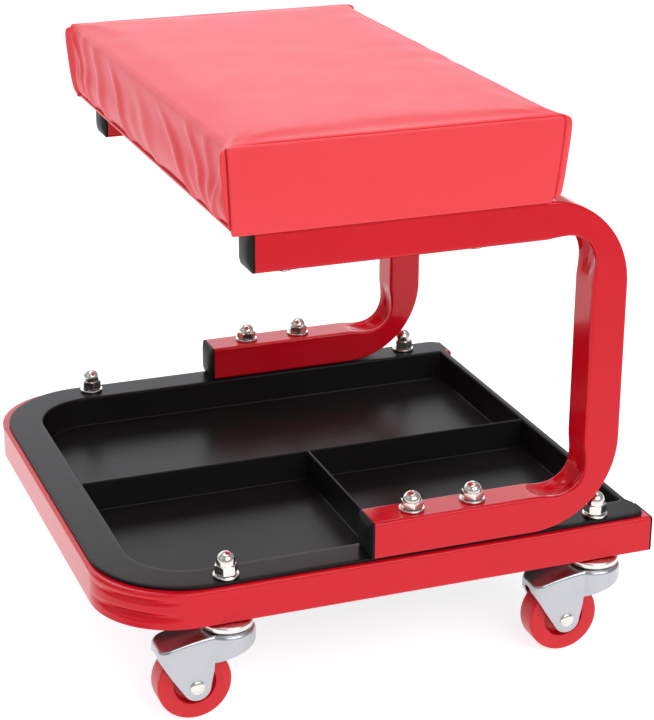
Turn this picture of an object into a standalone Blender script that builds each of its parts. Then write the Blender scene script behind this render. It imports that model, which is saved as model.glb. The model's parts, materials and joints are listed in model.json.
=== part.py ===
"""Rolling creeper seat with a tool tray under it.

A U-shaped base of square tube rolls on four swivel casters and carries a moulded tray.
Two C-shaped frames of the same tube stand on the tray's rim and hold a padded seat.

Axes: +X runs from the closed front of the base to its open rear, +Y to the right of
someone who sits facing the front, +Z up.  The origin is on the floor, at the middle
of the whole object's box.
"""
import math

import bmesh
import bpy
from mathutils import Matrix, Vector

MM = 0.001
GAP = 0.3 * MM                      # clearance between pieces that touch

# Square tube, the same stock in the base and in the seat frames
TUBE = 25.0 * MM
TUBE_WALL = 1.5 * MM
TUBE_CORNER = 2.5 * MM

# Base
BASE_LENGTH = 370.0 * MM
BASE_WIDTH = 356.0 * MM
BASE_BEND = 56.0 * MM               # outer radius of the two front bends
BASE_FRONT = -186.0 * MM
BASE_REAR = BASE_FRONT + BASE_LENGTH
RAIL_Y = (BASE_WIDTH - TUBE) / 2    # centre line of the rails, legs, stems and bolts

# Casters
CASTER_HEIGHT = 65.0 * MM           # floor to the underside of the rails
CASTER_TRAIL = 24.0 * MM
WHEEL_RADIUS = 24.5 * MM
WHEEL_WIDTH = 17.0 * MM
FRONT_STEM_X = -109.0 * MM
REAR_STEM_X = 148.4 * MM
YOKE_WIDTH = 27.0 * MM
YOKE_SHEET = 1.8 * MM
PAN_RADIUS = 18.3 * MM
PAN_TOP = -6.0 * MM                 # caster heights are measured down from the rails
PAN_BOTTOM = -20.0 * MM

# Tray
FLANGE = 2.0 * MM
FLANGE_HALF_WIDTH = 175.0 * MM
FLANGE_FRONT = -183.0 * MM
FLANGE_REAR = 179.5 * MM
FLANGE_BEND = 63.0 * MM             # wider than the base's bend, so the tube shows at the corners
EAR_REAR = 182.0 * MM               # the flange reaches further back over the rails
EAR_START_Y = 155.0 * MM
TRAY_WALL = 2.0 * MM
TRAY_DEPTH = 24.3 * MM              # underside of the basin to the top of the flange
BASIN_HALF_WIDTH = 152.5 * MM
BASIN_FRONT = -160.5 * MM
BASIN_REAR = 177.0 * MM
BASIN_BEND = 42.0 * MM
LONG_DIVIDER_Y = 1.5 * MM
CROSS_DIVIDER_X = 7.0 * MM

# Seat frames
FRAME_BEND = 60.0 * MM              # outer radius of their bends
FRAME_REAR = 156.5 * MM
LOWER_LEG_FRONT = -14.0 * MM
UPPER_LEG_FRONT = -92.0 * MM
FRAME_HEIGHT = 224.4 * MM
LEG_BOLT_X = (16.0 * MM, 58.3 * MM)
SEAT_SCREW_X = (-70.0 * MM, 55.0 * MM)

# Plugs in the ends of the tubes
BASE_CAP_HEAD = 2.0 * MM
FRAME_CAP_HEAD = 4.5 * MM
CAP_INSERT_LENGTH = 12.0 * MM
CAP_INSERT_WIDTH = 19.8 * MM

# Seat
SEAT_FRONT = -114.0 * MM            # at the top; the sides lean in towards the foot
SEAT_REAR = 109.0 * MM
SEAT_FOOT_FRONT = -104.5 * MM
SEAT_FOOT_REAR = 102.0 * MM
SEAT_WIDTH = 368.0 * MM
SEAT_THICKNESS = 56.7 * MM
COVER = 1.0 * MM
COVER_FOLD = 14.0 * MM              # width of cover turned under the board
BOARD = 10.0 * MM
SEAT_EDGE = 7.0 * MM                # rounding of the seat's edges

# Fasteners
BOLT_RADIUS = 4.0 * MM
BOLT_HOLE = 4.6 * MM
SCREW_RADIUS = 2.6 * MM
SCREW_HOLE = 3.4 * MM
WASHER_RADIUS = 8.4 * MM
WASHER = 1.6 * MM
NUT_ACROSS_FLATS = 13.0 * MM
NUT_DOME_RADIUS = 6.1 * MM
CASTER_NUT = (14.7 * MM, 6.5 * MM)   # whole height and height of the hexagon
LEG_NUT = (10.6 * MM, 4.8 * MM)      # the low form

# Levels above the floor
RAIL_BOTTOM = CASTER_HEIGHT
RAIL_TOP = RAIL_BOTTOM + TUBE
FLANGE_TOP = RAIL_TOP + GAP + FLANGE
LEG_BOTTOM = FLANGE_TOP + GAP
LEG_TOP = LEG_BOTTOM + TUBE
FRAME_TOP = LEG_BOTTOM + FRAME_HEIGHT
SEAT_BOTTOM = FRAME_TOP + GAP
SEAT_TOP = SEAT_BOTTOM + SEAT_THICKNESS

# Facets
BEND_STEPS = 6
CORNER_STEPS = 1
ROUND_STEPS = 12
WHEEL_STEPS = 28

SIDES = {"left": -1.0, "right": 1.0}
ENDS = {"front": FRONT_STEM_X, "rear": REAR_STEM_X}


# ---------------------------------------------------------------- scene and helpers

def clear_scene():
    for thing in list(bpy.data.objects):
        bpy.data.objects.remove(thing, do_unlink=True)


def new_collection(name):
    collection = bpy.data.collections.new(name)
    bpy.context.scene.collection.children.link(collection)
    return collection


def finish_material(name, colour, roughness, metallic=0.0):
    material = bpy.data.materials.new(name)
    material.use_nodes = True
    shader = material.node_tree.nodes["Principled BSDF"]
    shader.inputs["Base Color"].default_value = (*colour, 1.0)
    shader.inputs["Roughness"].default_value = roughness
    shader.inputs["Metallic"].default_value = metallic
    material.diffuse_color = (*colour, 1.0)
    return material


def place(name, mesh, material, location=(0, 0, 0), rotation=(0, 0, 0), parent=None):
    """A named sub-part in the object's own collection."""
    part = bpy.data.objects.new(name, mesh)
    PARTS.objects.link(part)
    part.location = location
    part.rotation_euler = rotation
    part.parent = parent
    part.data.materials.clear()
    part.data.materials.append(material)
    return part


def place_cutter(name, mesh, location=(0, 0, 0), rotation=(0, 0, 0), parent=None):
    cutter = bpy.data.objects.new(name, mesh)
    CUTTERS.objects.link(cutter)
    cutter.location = location
    cutter.rotation_euler = rotation
    cutter.parent = parent
    cutter.hide_render = True
    cutter.display_type = "WIRE"
    return cutter


def boolean(part, tool, operation):
    modifier = part.modifiers.new(operation.lower(), "BOOLEAN")
    modifier.operation = operation
    modifier.object = tool


def arc(centre, radius, start, end, steps):
    """Points on a circle from angle start to angle end, in radians."""
    angles = (start + (end - start) * i / steps for i in range(steps + 1))
    return [(centre[0] + radius * math.cos(a), centre[1] + radius * math.sin(a)) for a in angles]


def round_outline(corners, steps=BEND_STEPS, closed=True):
    """An outline through (x, y, radius) corners, with each corner rounded by an arc."""
    points = []
    count = len(corners)
    for i, (x, y, radius) in enumerate(corners):
        at_end = not closed and i in (0, count - 1)
        if radius == 0 or at_end:
            points.append((x, y))
            continue
        here = Vector((x, y))
        back = (Vector(corners[i - 1][:2]) - here).normalized()
        ahead = (Vector(corners[(i + 1) % count][:2]) - here).normalized()
        half = back.angle(ahead) / 2
        centre = here + (back + ahead).normalized() * radius / math.sin(half)
        start = here + back * radius / math.tan(half) - centre
        end = here + ahead * radius / math.tan(half) - centre
        first = math.atan2(start.y, start.x)
        turn = math.remainder(math.atan2(end.y, end.x) - first, math.tau)
        points += arc(centre, radius, first, first + turn, steps)
    return points


def curve_object(name, points, closed):
    """A flat curve through the points, as a linked object."""
    curve = bpy.data.curves.new(name, "CURVE")
    curve.dimensions = "2D"
    curve.fill_mode = "NONE"
    spline = curve.splines.new("POLY")
    spline.points.add(len(points) - 1)
    for point, (x, y) in zip(spline.points, points):
        point.co = (x, y, 0.0, 1.0)
    spline.use_cyclic_u = closed
    thing = bpy.data.objects.new(name, curve)
    CUTTERS.objects.link(thing)
    return thing


def mesh_from_curve(thing):
    """The curve's surface as a mesh with its seams welded; the curve is removed."""
    graph = bpy.context.evaluated_depsgraph_get()
    mesh = bpy.data.meshes.new_from_object(thing.evaluated_get(graph))
    bpy.data.objects.remove(thing, do_unlink=True)
    shape = bmesh.new()
    shape.from_mesh(mesh)
    bmesh.ops.remove_doubles(shape, verts=shape.verts, dist=1e-6)
    bmesh.ops.recalc_face_normals(shape, faces=shape.faces)
    shape.to_mesh(mesh)
    shape.free()
    return mesh


def plate_mesh(name, outline, thickness):
    """A flat outline with a thickness, centred on its own plane."""
    thing = curve_object(name, outline, closed=True)
    thing.data.fill_mode = "BOTH"
    thing.data.extrude = thickness / 2
    return mesh_from_curve(thing)


def rectangle(x0, x1, y0, y1, radius=0.0):
    return [(x0, y0, radius), (x1, y0, radius), (x1, y1, radius), (x0, y1, radius)]


def tube_mesh(name, path):
    """The skin of the square tube, swept along a flat path and open at both ends."""
    half = TUBE / 2
    section = round_outline(rectangle(-half, half, -half, half, TUBE_CORNER), CORNER_STEPS)
    profile = curve_object(name + "_section", section, closed=True)
    sweep = curve_object(name, path, closed=False)
    sweep.data.bevel_mode = "OBJECT"
    sweep.data.bevel_object = profile
    mesh = mesh_from_curve(sweep)
    bpy.data.objects.remove(profile, do_unlink=True)
    return mesh


def give_wall(part, thickness):
    wall = part.modifiers.new("wall", "SOLIDIFY")
    wall.thickness = thickness
    wall.offset = -1.0
    wall.use_even_offset = True


def turned(name, profile, material, location=(0, 0, 0), rotation=(0, 0, 0),
           parent=None, steps=ROUND_STEPS, closed=False):
    """A turned piece: a profile of (radius, height), outer side from top to bottom."""
    mesh = bpy.data.meshes.new(name)
    vertices = [(radius, 0.0, height) for radius, height in profile]
    edges = [(i, i + 1) for i in range(len(profile) - 1)]
    if closed:
        edges.append((len(profile) - 1, 0))
    mesh.from_pydata(vertices, edges, [])
    part = place(name, mesh, material, location, rotation, parent)
    screw = part.modifiers.new("turn", "SCREW")
    screw.axis = "Z"
    screw.steps = steps
    screw.render_steps = steps
    screw.use_merge_vertices = True
    screw.merge_threshold = 0.00001
    screw.use_smooth_shade = False
    return part


def drill_mesh(name, radius, spots, length, steps=ROUND_STEPS):
    """One cutter of upright cylinders, centred on the given points."""
    shape = bmesh.new()
    for spot in spots:
        bmesh.ops.create_cone(shape, cap_ends=True, segments=steps, radius1=radius,
                              radius2=radius, depth=length, matrix=Matrix.Translation(spot))
    mesh = bpy.data.meshes.new(name)
    shape.to_mesh(mesh)
    shape.free()
    return mesh


def box_mesh(name, low, high):
    """A box between two opposite corners, measured from its own centre."""
    shape = bmesh.new()
    size = Vector(high) - Vector(low)
    centre = (Vector(high) + Vector(low)) / 2
    matrix = Matrix.Translation(centre) @ Matrix.Diagonal((*size, 1.0))
    bmesh.ops.create_cube(shape, size=1.0, matrix=matrix)
    mesh = bpy.data.meshes.new(name)
    shape.to_mesh(mesh)
    shape.free()
    return mesh


def round_chosen(part, width, chosen):
    """Round the edges of a box that the test picks."""
    shape = bmesh.new()
    shape.from_mesh(part.data)
    bmesh.ops.bevel(shape, geom=[edge for edge in shape.edges if chosen(edge)], offset=width,
                    segments=2, profile=0.5, affect="EDGES")
    shape.to_mesh(part.data)
    shape.free()


def round_corners(part, width):
    """Round a box's four upright edges and leave its faces flat."""
    round_chosen(part, width, lambda edge: edge.verts[0].co.xy == edge.verts[1].co.xy)


def lean_in(part):
    """Draw the seat's ends in towards its foot."""
    for vertex in part.data.vertices:
        down = (SEAT_TOP - vertex.co.z) / SEAT_THICKNESS
        share = (vertex.co.x - SEAT_FRONT) / (SEAT_REAR - SEAT_FRONT)
        front_move = SEAT_FOOT_FRONT - SEAT_FRONT
        rear_move = SEAT_FOOT_REAR - SEAT_REAR
        vertex.co.x += down * (front_move * (1 - share) + rear_move * share)


def round_top_and_corners(part, width):
    """Round a box's upright edges and its top rim, and leave its foot square."""
    foot = min(vertex.co.z for vertex in part.data.vertices)
    round_chosen(part, width, lambda edge: max(v.co.z for v in edge.verts) > foot + width)


# ---------------------------------------------------------------- base

def make_base_frame():
    """A U of square tube, open to the rear, drilled for the stems and the leg bolts."""
    centre_front = BASE_FRONT + TUBE / 2
    bend = BASE_BEND - TUBE / 2
    path = round_outline([(BASE_REAR, -RAIL_Y, 0), (centre_front, -RAIL_Y, bend),
                          (centre_front, RAIL_Y, bend), (BASE_REAR, RAIL_Y, 0)], closed=False)
    frame = place("base_frame", tube_mesh("base_frame", path), RED_PAINT,
                  (0, 0, RAIL_BOTTOM + TUBE / 2))
    give_wall(frame, TUBE_WALL)
    spots = [(x, side * RAIL_Y, 0) for side in SIDES.values()
             for x in (*ENDS.values(), *LEG_BOLT_X)]
    drill = place_cutter("base_drill", drill_mesh("base_drill", BOLT_HOLE, spots, 2 * TUBE),
                         frame.location)
    boolean(frame, drill, "DIFFERENCE")


def make_end_plug(name, head, location, rotation):
    """A plug in a tube's end: a head as wide as the tube, and a square insert behind it.

    Its own +Z points out of the tube, from the tube's end face.
    """
    half = TUBE / 2
    insert = CAP_INSERT_WIDTH / 2
    outline = round_outline(rectangle(-half, half, -half, half, TUBE_CORNER), CORNER_STEPS)
    plug = place(name, plate_mesh(name, outline, head - GAP), BLACK_PLASTIC, location, rotation)
    plug.data.transform(Matrix.Translation((0, 0, (head + GAP) / 2)))
    if head > TUBE_CORNER:
        crown_plug(plug, head)
    tongue = box_mesh(name + "_insert", (-insert, -insert, -CAP_INSERT_LENGTH),
                      (insert, insert, head / 2))
    boolean(plug, place_cutter(name + "_insert", tongue, location, rotation), "UNION")


def crown_plug(plug, head):
    """Draw the outer end of a tall plug in, so that it reads as a dome."""
    shape = bmesh.new()
    shape.from_mesh(plug.data)
    shoulder = head * 0.55
    for level in (shoulder, head * 0.85):
        bmesh.ops.bisect_plane(shape, geom=shape.verts[:] + shape.edges[:] + shape.faces[:],
                               plane_co=(0, 0, level), plane_no=(0, 0, 1), dist=1e-7)
    for vertex in shape.verts:
        rise = max(0.0, (vertex.co.z - shoulder) / (head - shoulder))
        pull = 1.0 - 0.3 * rise ** 2
        vertex.co.x *= pull
        vertex.co.y *= pull
    shape.to_mesh(plug.data)
    shape.free()


def make_base_plugs():
    for side, sign in SIDES.items():
        make_end_plug(f"base_plug_{side}", BASE_CAP_HEAD,
                      (BASE_REAR, sign * RAIL_Y, RAIL_BOTTOM + TUBE / 2), (0, math.pi / 2, 0))


# ---------------------------------------------------------------- tray

def make_tray():
    """A basin between the rails, three compartments, and a flange that lies on the tube."""
    ear_corner = 8.0 * MM
    outline = round_outline([
        (FLANGE_FRONT, -FLANGE_HALF_WIDTH, FLANGE_BEND),
        (EAR_REAR, -FLANGE_HALF_WIDTH, ear_corner),
        (EAR_REAR, -EAR_START_Y, 0),
        (FLANGE_REAR, -EAR_START_Y, 0),
        (FLANGE_REAR, EAR_START_Y, 0),
        (EAR_REAR, EAR_START_Y, 0),
        (EAR_REAR, FLANGE_HALF_WIDTH, ear_corner),
        (FLANGE_FRONT, FLANGE_HALF_WIDTH, FLANGE_BEND)])
    tray = place("tray", plate_mesh("tray", outline, FLANGE), BLACK_PLASTIC,
                 (0, 0, FLANGE_TOP - FLANGE / 2))

    rear_corner = 4.0 * MM
    basin = round_outline([(BASIN_FRONT, -BASIN_HALF_WIDTH, BASIN_BEND),
                           (BASIN_REAR, -BASIN_HALF_WIDTH, rear_corner),
                           (BASIN_REAR, BASIN_HALF_WIDTH, rear_corner),
                           (BASIN_FRONT, BASIN_HALF_WIDTH, BASIN_BEND)])
    basin_bottom = FLANGE_TOP - TRAY_DEPTH
    basin_top = FLANGE_TOP - FLANGE / 2
    block = plate_mesh("basin", basin, basin_top - basin_bottom)
    boolean(tray, place_cutter("basin", block, (0, 0, (basin_top + basin_bottom) / 2)), "UNION")

    for name, corners in tray_pockets().items():
        floor = basin_bottom + TRAY_WALL
        depth = 2 * (FLANGE_TOP - floor)
        pocket = plate_mesh(name, round_outline(corners), depth)
        boolean(tray, place_cutter(name, pocket, (0, 0, floor + depth / 2)), "DIFFERENCE")

    spots = [(x, side * RAIL_Y, FLANGE_TOP) for side in SIDES.values()
             for x in (*ENDS.values(), *LEG_BOLT_X)]
    drill = drill_mesh("tray_drill", BOLT_HOLE, spots, 4 * FLANGE)
    boolean(tray, place_cutter("tray_drill", drill), "DIFFERENCE")


def tray_pockets():
    """The corners of the long compartment and of the two short ones."""
    front = BASIN_FRONT + TRAY_WALL
    rear = BASIN_REAR - TRAY_WALL
    side = BASIN_HALF_WIDTH - TRAY_WALL
    bend = BASIN_BEND - TRAY_WALL
    small = 2.0 * MM
    divider = TRAY_WALL / 2
    middle_low = LONG_DIVIDER_Y - divider
    middle_high = LONG_DIVIDER_Y + divider
    cross_low = CROSS_DIVIDER_X - divider
    cross_high = CROSS_DIVIDER_X + divider
    return {
        "long_pocket": [(front, middle_high, small), (rear, middle_high, small),
                        (rear, side, small), (front, side, bend)],
        "front_pocket": [(front, -side, bend), (cross_low, -side, small),
                         (cross_low, middle_low, small), (front, middle_low, small)],
        "rear_pocket": [(cross_high, -side, small), (rear, -side, small),
                        (rear, middle_low, small), (cross_high, middle_low, small)],
    }


# ---------------------------------------------------------------- seat frames

def make_seat_frame(side, sign):
    """A C of square tube that stands on the tray's flange, open to the front."""
    half = TUBE / 2
    bend = FRAME_BEND - half
    path = round_outline([(LOWER_LEG_FRONT, LEG_BOTTOM + half, 0),
                          (FRAME_REAR - half, LEG_BOTTOM + half, bend),
                          (FRAME_REAR - half, FRAME_TOP - half, bend),
                          (UPPER_LEG_FRONT, FRAME_TOP - half, 0)], closed=False)
    name = f"seat_frame_{side}"
    frame = place(name, tube_mesh(name, path), RED_PAINT, (0, sign * RAIL_Y, 0),
                  (math.pi / 2, 0, 0))
    give_wall(frame, TUBE_WALL)
    bolts = [(x, sign * RAIL_Y, LEG_BOTTOM + half) for x in LEG_BOLT_X]
    bolt_drill = drill_mesh(name + "_bolt_drill", BOLT_HOLE, bolts, 2 * TUBE)
    boolean(frame, place_cutter(name + "_bolt_drill", bolt_drill), "DIFFERENCE")
    screws = [(x, sign * RAIL_Y, FRAME_TOP - half) for x in SEAT_SCREW_X]
    screw_drill = drill_mesh(name + "_screw_drill", SCREW_HOLE, screws, 2 * TUBE)
    boolean(frame, place_cutter(name + "_screw_drill", screw_drill), "DIFFERENCE")

    facing_front = (0, -math.pi / 2, 0)
    make_end_plug(f"lower_leg_plug_{side}", FRAME_CAP_HEAD,
                  (LOWER_LEG_FRONT, sign * RAIL_Y, LEG_BOTTOM + half), facing_front)
    make_end_plug(f"upper_leg_plug_{side}", FRAME_CAP_HEAD,
                  (UPPER_LEG_FRONT, sign * RAIL_Y, FRAME_TOP - half), facing_front)


# ---------------------------------------------------------------- seat

def make_seat():
    """A board, a foam block on it, and a cover that is turned under the board's edge."""
    half = SEAT_WIDTH / 2
    cover = place("seat_cover", box_mesh("seat_cover", (SEAT_FRONT, -half, SEAT_BOTTOM),
                                         (SEAT_REAR, half, SEAT_TOP)), RED_VINYL)
    round_top_and_corners(cover, SEAT_EDGE)
    lean_in(cover)
    inside = box_mesh("cover_inside", (SEAT_FRONT + COVER, -half + COVER, SEAT_BOTTOM + COVER),
                      (SEAT_REAR - COVER, half - COVER, SEAT_TOP - COVER))
    cavity = place_cutter("cover_inside", inside)
    round_top_and_corners(cavity, SEAT_EDGE - COVER)
    lean_in(cavity)
    boolean(cover, cavity, "DIFFERENCE")
    window = box_mesh("cover_window",
                      (SEAT_FOOT_FRONT + COVER_FOLD, -half + COVER_FOLD, SEAT_BOTTOM - COVER),
                      (SEAT_FOOT_REAR - COVER_FOLD, half - COVER_FOLD, SEAT_BOTTOM + 2 * COVER))
    boolean(cover, place_cutter("cover_window", window), "DIFFERENCE")

    inset = COVER + GAP
    board_bottom = SEAT_BOTTOM + COVER + GAP
    board_top = board_bottom + BOARD
    board_low = (SEAT_FOOT_FRONT + inset, -half + inset, board_bottom)
    board_high = (SEAT_FOOT_REAR - inset, half - inset, board_top)
    board = place("seat_board", box_mesh("seat_board", board_low, board_high), PLYWOOD)
    round_corners(board, SEAT_EDGE - inset)
    spots = [(x, side * RAIL_Y, board_bottom) for side in SIDES.values() for x in SEAT_SCREW_X]
    pilot = drill_mesh("board_drill", SCREW_HOLE, spots, 2 * (BOARD - 2 * MM))
    boolean(board, place_cutter("board_drill", pilot), "DIFFERENCE")

    foam_low = (SEAT_FRONT + inset, -half + inset, board_top + GAP)
    foam_high = (SEAT_REAR - inset, half - inset, SEAT_TOP - inset)
    foam = place("seat_foam", box_mesh("seat_foam", foam_low, foam_high), FOAM)
    round_top_and_corners(foam, SEAT_EDGE - inset)
    lean_in(foam)


def make_seat_screw(name, x, y):
    """A pan-head screw, driven up through the upper leg into the board."""
    head_radius = 5.5 * MM
    head_height = 3.5 * MM
    under_leg = FRAME_TOP - TUBE - GAP
    tip = SEAT_BOTTOM + COVER + GAP + BOARD - 3 * MM
    taper = 3.0 * MM
    profile = [(0, tip), (SCREW_RADIUS * 0.4, tip), (SCREW_RADIUS, tip - taper),
               (SCREW_RADIUS, under_leg), (head_radius, under_leg),
               (head_radius, under_leg - head_height / 2),
               (head_radius * 0.6, under_leg - head_height), (0, under_leg - head_height)]
    turned(name, profile, ZINC, (x, y, 0))


# ---------------------------------------------------------------- bolts, washers and nuts

def make_washer(name, x, y, level):
    """A flat washer whose underside is at the given level."""
    profile = [(BOLT_HOLE, WASHER), (WASHER_RADIUS, WASHER), (WASHER_RADIUS, 0), (BOLT_HOLE, 0)]
    turned(name, profile, ZINC, (x, y, level), closed=True)


def make_cap_nut(name, x, y, level, size):
    """A domed cap nut: a hexagon, a dome over it, and a blind bore from below."""
    height, hex_height = size
    hexagon = drill_mesh(name, NUT_ACROSS_FLATS / math.sqrt(3), [(0, 0, hex_height / 2)],
                         hex_height, steps=6)
    nut = place(name, hexagon, ZINC, (x, y, level))
    dome_start = height - NUT_DOME_RADIUS
    foot = hex_height / 2
    quarter = arc((0, dome_start), NUT_DOME_RADIUS, math.pi / 2, 0, 3)
    dome = turned(name + "_dome", quarter + [(NUT_DOME_RADIUS, foot), (0, foot)], ZINC,
                  (x, y, level))
    make_cutter_of(dome)
    boolean(nut, dome, "UNION")
    bore_depth = height - 4.0 * MM
    bore = drill_mesh(name + "_bore", BOLT_HOLE, [(0, 0, 0)], 2 * bore_depth)
    boolean(nut, place_cutter(name + "_bore", bore, (x, y, level)), "DIFFERENCE")


def make_cutter_of(part):
    """Move a helper shape from the parts to the cutters."""
    PARTS.objects.unlink(part)
    CUTTERS.objects.link(part)
    part.hide_render = True
    part.display_type = "WIRE"


def make_leg_fasteners(name, x, y):
    """A round-head bolt up through rail, flange and lower leg, with a washer and a nut."""
    head_radius = 8.0 * MM
    head_height = 4.5 * MM
    under_rail = RAIL_BOTTOM - GAP
    washer_level = LEG_TOP + GAP
    nut_level = washer_level + WASHER + GAP
    tip = nut_level + 5.5 * MM
    crown = arc((0, under_rail), head_radius, 0, -math.pi / 2, 3)
    head = [(r, under_rail + (z - under_rail) * head_height / head_radius) for r, z in crown]
    profile = [(0, tip), (BOLT_RADIUS, tip), (BOLT_RADIUS, under_rail)] + head[:-1]
    profile.append((0, under_rail - head_height))
    turned(f"leg_bolt_{name}", profile, ZINC, (x, y, 0))
    make_washer(f"leg_washer_{name}", x, y, washer_level)
    make_cap_nut(f"leg_nut_{name}", x, y, nut_level, LEG_NUT)


# ---------------------------------------------------------------- casters

def yoke_side_outline(inset=0.0):
    """The yoke seen from its side; with an inset, the room inside its sheet.

    The shoulders run to the round boss on the axle along lines that touch the boss.
    """
    boss_radius = 9.0 * MM
    axle = Vector((-CASTER_TRAIL, WHEEL_RADIUS - CASTER_HEIGHT))
    tail = Vector((-46.5 * MM, -21.0 * MM))
    throat = Vector((-10.5 * MM, -26.5 * MM))
    top = PAN_TOP - inset
    upper = [(10.0 * MM, top, 0), (-34.0 * MM, top, 8.0 * MM),
             (-49.0 * MM + inset, -13.0 * MM, 3.0 * MM)]
    if inset:
        below = -CASTER_HEIGHT
        return round_outline(upper + [(-46.5 * MM + inset, -21.0 * MM, 0),
                                      (-46.5 * MM + inset, below, 0), (10.0 * MM, below, 0)], 2)
    tail_reach = axle - tail
    throat_reach = axle - throat
    tail_line = (math.atan2(tail_reach.y, tail_reach.x)
                 - math.asin(boss_radius / tail_reach.length))
    throat_line = (math.atan2(throat_reach.y, throat_reach.x)
                   + math.asin(boss_radius / throat_reach.length))
    boss = arc(axle, boss_radius, tail_line - math.pi / 2, throat_line + math.pi / 2, 6)
    corners = upper + [(*tail, 0)] + [(x, y, 0) for x, y in boss]
    corners += [(*throat, 3.0 * MM), (-6.0 * MM, -21.5 * MM, 3.0 * MM), (10.0 * MM, -20.5 * MM, 0)]
    return round_outline(corners, 2)


def make_yoke(name, swivel):
    """A pressed sheet fork: a round pan over the stem, a hood and two side plates."""
    upright = (math.pi / 2, 0, 0)
    side_steps = 24
    yoke = place(name, plate_mesh(name, yoke_side_outline(), YOKE_WIDTH), ZINC_SHEET,
                 rotation=upright, parent=swivel)
    pan_centre = [(0, 0, (PAN_TOP + PAN_BOTTOM) / 2)]
    pan = drill_mesh(name + "_pan", PAN_RADIUS, pan_centre, PAN_TOP - PAN_BOTTOM, side_steps)
    boolean(yoke, place_cutter(name + "_pan", pan, parent=swivel), "UNION")
    room = plate_mesh(name + "_room", yoke_side_outline(YOKE_SHEET), YOKE_WIDTH - 2 * YOKE_SHEET)
    boolean(yoke, place_cutter(name + "_room", room, rotation=upright, parent=swivel),
            "DIFFERENCE")
    inside = PAN_TOP - YOKE_SHEET
    pan_room = drill_mesh(name + "_pan_room", PAN_RADIUS - YOKE_SHEET,
                          [(0, 0, inside - CASTER_HEIGHT / 2)], CASTER_HEIGHT, side_steps)
    boolean(yoke, place_cutter(name + "_pan_room", pan_room, parent=swivel), "DIFFERENCE")
    stem_hole = drill_mesh(name + "_stem_hole", BOLT_HOLE, [(0, 0, PAN_TOP)], 6 * YOKE_SHEET)
    boolean(yoke, place_cutter(name + "_stem_hole", stem_hole, parent=swivel), "DIFFERENCE")
    axle_hole = drill_mesh(name + "_axle_hole", SCREW_HOLE, [(0, 0, 0)], 2 * YOKE_WIDTH)
    boolean(yoke, place_cutter(name + "_axle_hole", axle_hole,
                               (-CASTER_TRAIL, 0, WHEEL_RADIUS - CASTER_HEIGHT), upright, swivel),
            "DIFFERENCE")


def make_race(name, x, y):
    """The domed ball race that is clamped between the rail and the yoke's pan."""
    top = RAIL_BOTTOM - GAP
    foot = RAIL_BOTTOM + PAN_TOP + GAP
    rim = 17.0 * MM
    profile = [(BOLT_HOLE, top), (rim * 0.8, top), (rim, top - 1.5 * MM), (rim, top - 3.2 * MM),
               (rim * 0.8, foot), (BOLT_HOLE, foot)]
    turned(name, profile, ZINC, (x, y, 0), steps=16, closed=True)


def make_stem(name, x, y):
    """The stem bolt: its head is inside the yoke, its shank goes up through the rail."""
    head_radius = 7.0 * MM
    head_height = 4.5 * MM
    under_pan = RAIL_BOTTOM + PAN_TOP - YOKE_SHEET - GAP
    tip = FLANGE_TOP + 2 * GAP + WASHER + 9.0 * MM
    profile = [(0, tip), (BOLT_RADIUS, tip), (BOLT_RADIUS, under_pan), (head_radius, under_pan),
               (head_radius, under_pan - head_height * 0.6),
               (head_radius * 0.7, under_pan - head_height), (0, under_pan - head_height)]
    turned(name, profile, ZINC, (x, y, 0))


def make_wheel(name, swivel):
    """A moulded wheel with a dished side and a hub that fills the yoke."""
    half = WHEEL_WIDTH / 2
    edge = 1.5 * MM
    dish_radius = 13.5 * MM
    dish_depth = 2.5 * MM
    hub_radius = 7.5 * MM
    hub_half = YOKE_WIDTH / 2 - YOKE_SHEET - 2 * GAP
    upper = [(SCREW_HOLE, hub_half), (hub_radius, hub_half), (hub_radius, half - dish_depth),
             (dish_radius - dish_depth, half - dish_depth), (dish_radius, half),
             (WHEEL_RADIUS - edge, half), (WHEEL_RADIUS, half - edge)]
    lower = [(radius, -height) for radius, height in reversed(upper)]
    half_step = math.pi / WHEEL_STEPS
    radius_on_flat = WHEEL_RADIUS / math.cos(half_step)
    profile = [(radius_on_flat if radius == WHEEL_RADIUS else radius, height)
               for radius, height in upper + lower]
    wheel = turned(name, profile, RED_WHEEL, (-CASTER_TRAIL, 0, WHEEL_RADIUS - CASTER_HEIGHT),
                   (math.pi / 2, 0, 0), swivel, WHEEL_STEPS, closed=True)
    wheel.data.transform(Matrix.Rotation(half_step, 4, "Z"))


def make_axle(name, swivel):
    """The rivet that the wheel turns on, with a low dome at each end."""
    radius = 3.0 * MM
    head_radius = 4.8 * MM
    head_height = 1.6 * MM
    outside = YOKE_WIDTH / 2 + GAP
    end = [(0, outside + head_height), (head_radius * 0.6, outside + head_height * 0.85),
           (head_radius, outside + head_height * 0.3), (head_radius, outside), (radius, outside)]
    profile = end + [(r, -z) for r, z in reversed(end)]
    turned(name, profile, ZINC, (-CASTER_TRAIL, 0, WHEEL_RADIUS - CASTER_HEIGHT),
           (math.pi / 2, 0, 0), swivel)


def make_caster(name, x, y):
    """A swivel caster on its own axis, with the washer and nut that hold its stem."""
    swivel = bpy.data.objects.new(f"swivel_{name}", None)
    PARTS.objects.link(swivel)
    swivel.location = (x, y, RAIL_BOTTOM)
    make_race(f"caster_race_{name}", x, y)
    make_stem(f"caster_stem_{name}", x, y)
    make_yoke(f"caster_yoke_{name}", swivel)
    make_axle(f"caster_axle_{name}", swivel)
    make_wheel(f"caster_wheel_{name}", swivel)
    washer_level = FLANGE_TOP + GAP
    make_washer(f"caster_washer_{name}", x, y, washer_level)
    make_cap_nut(f"caster_nut_{name}", x, y, washer_level + WASHER + GAP, CASTER_NUT)


# ---------------------------------------------------------------- the whole seat

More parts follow.
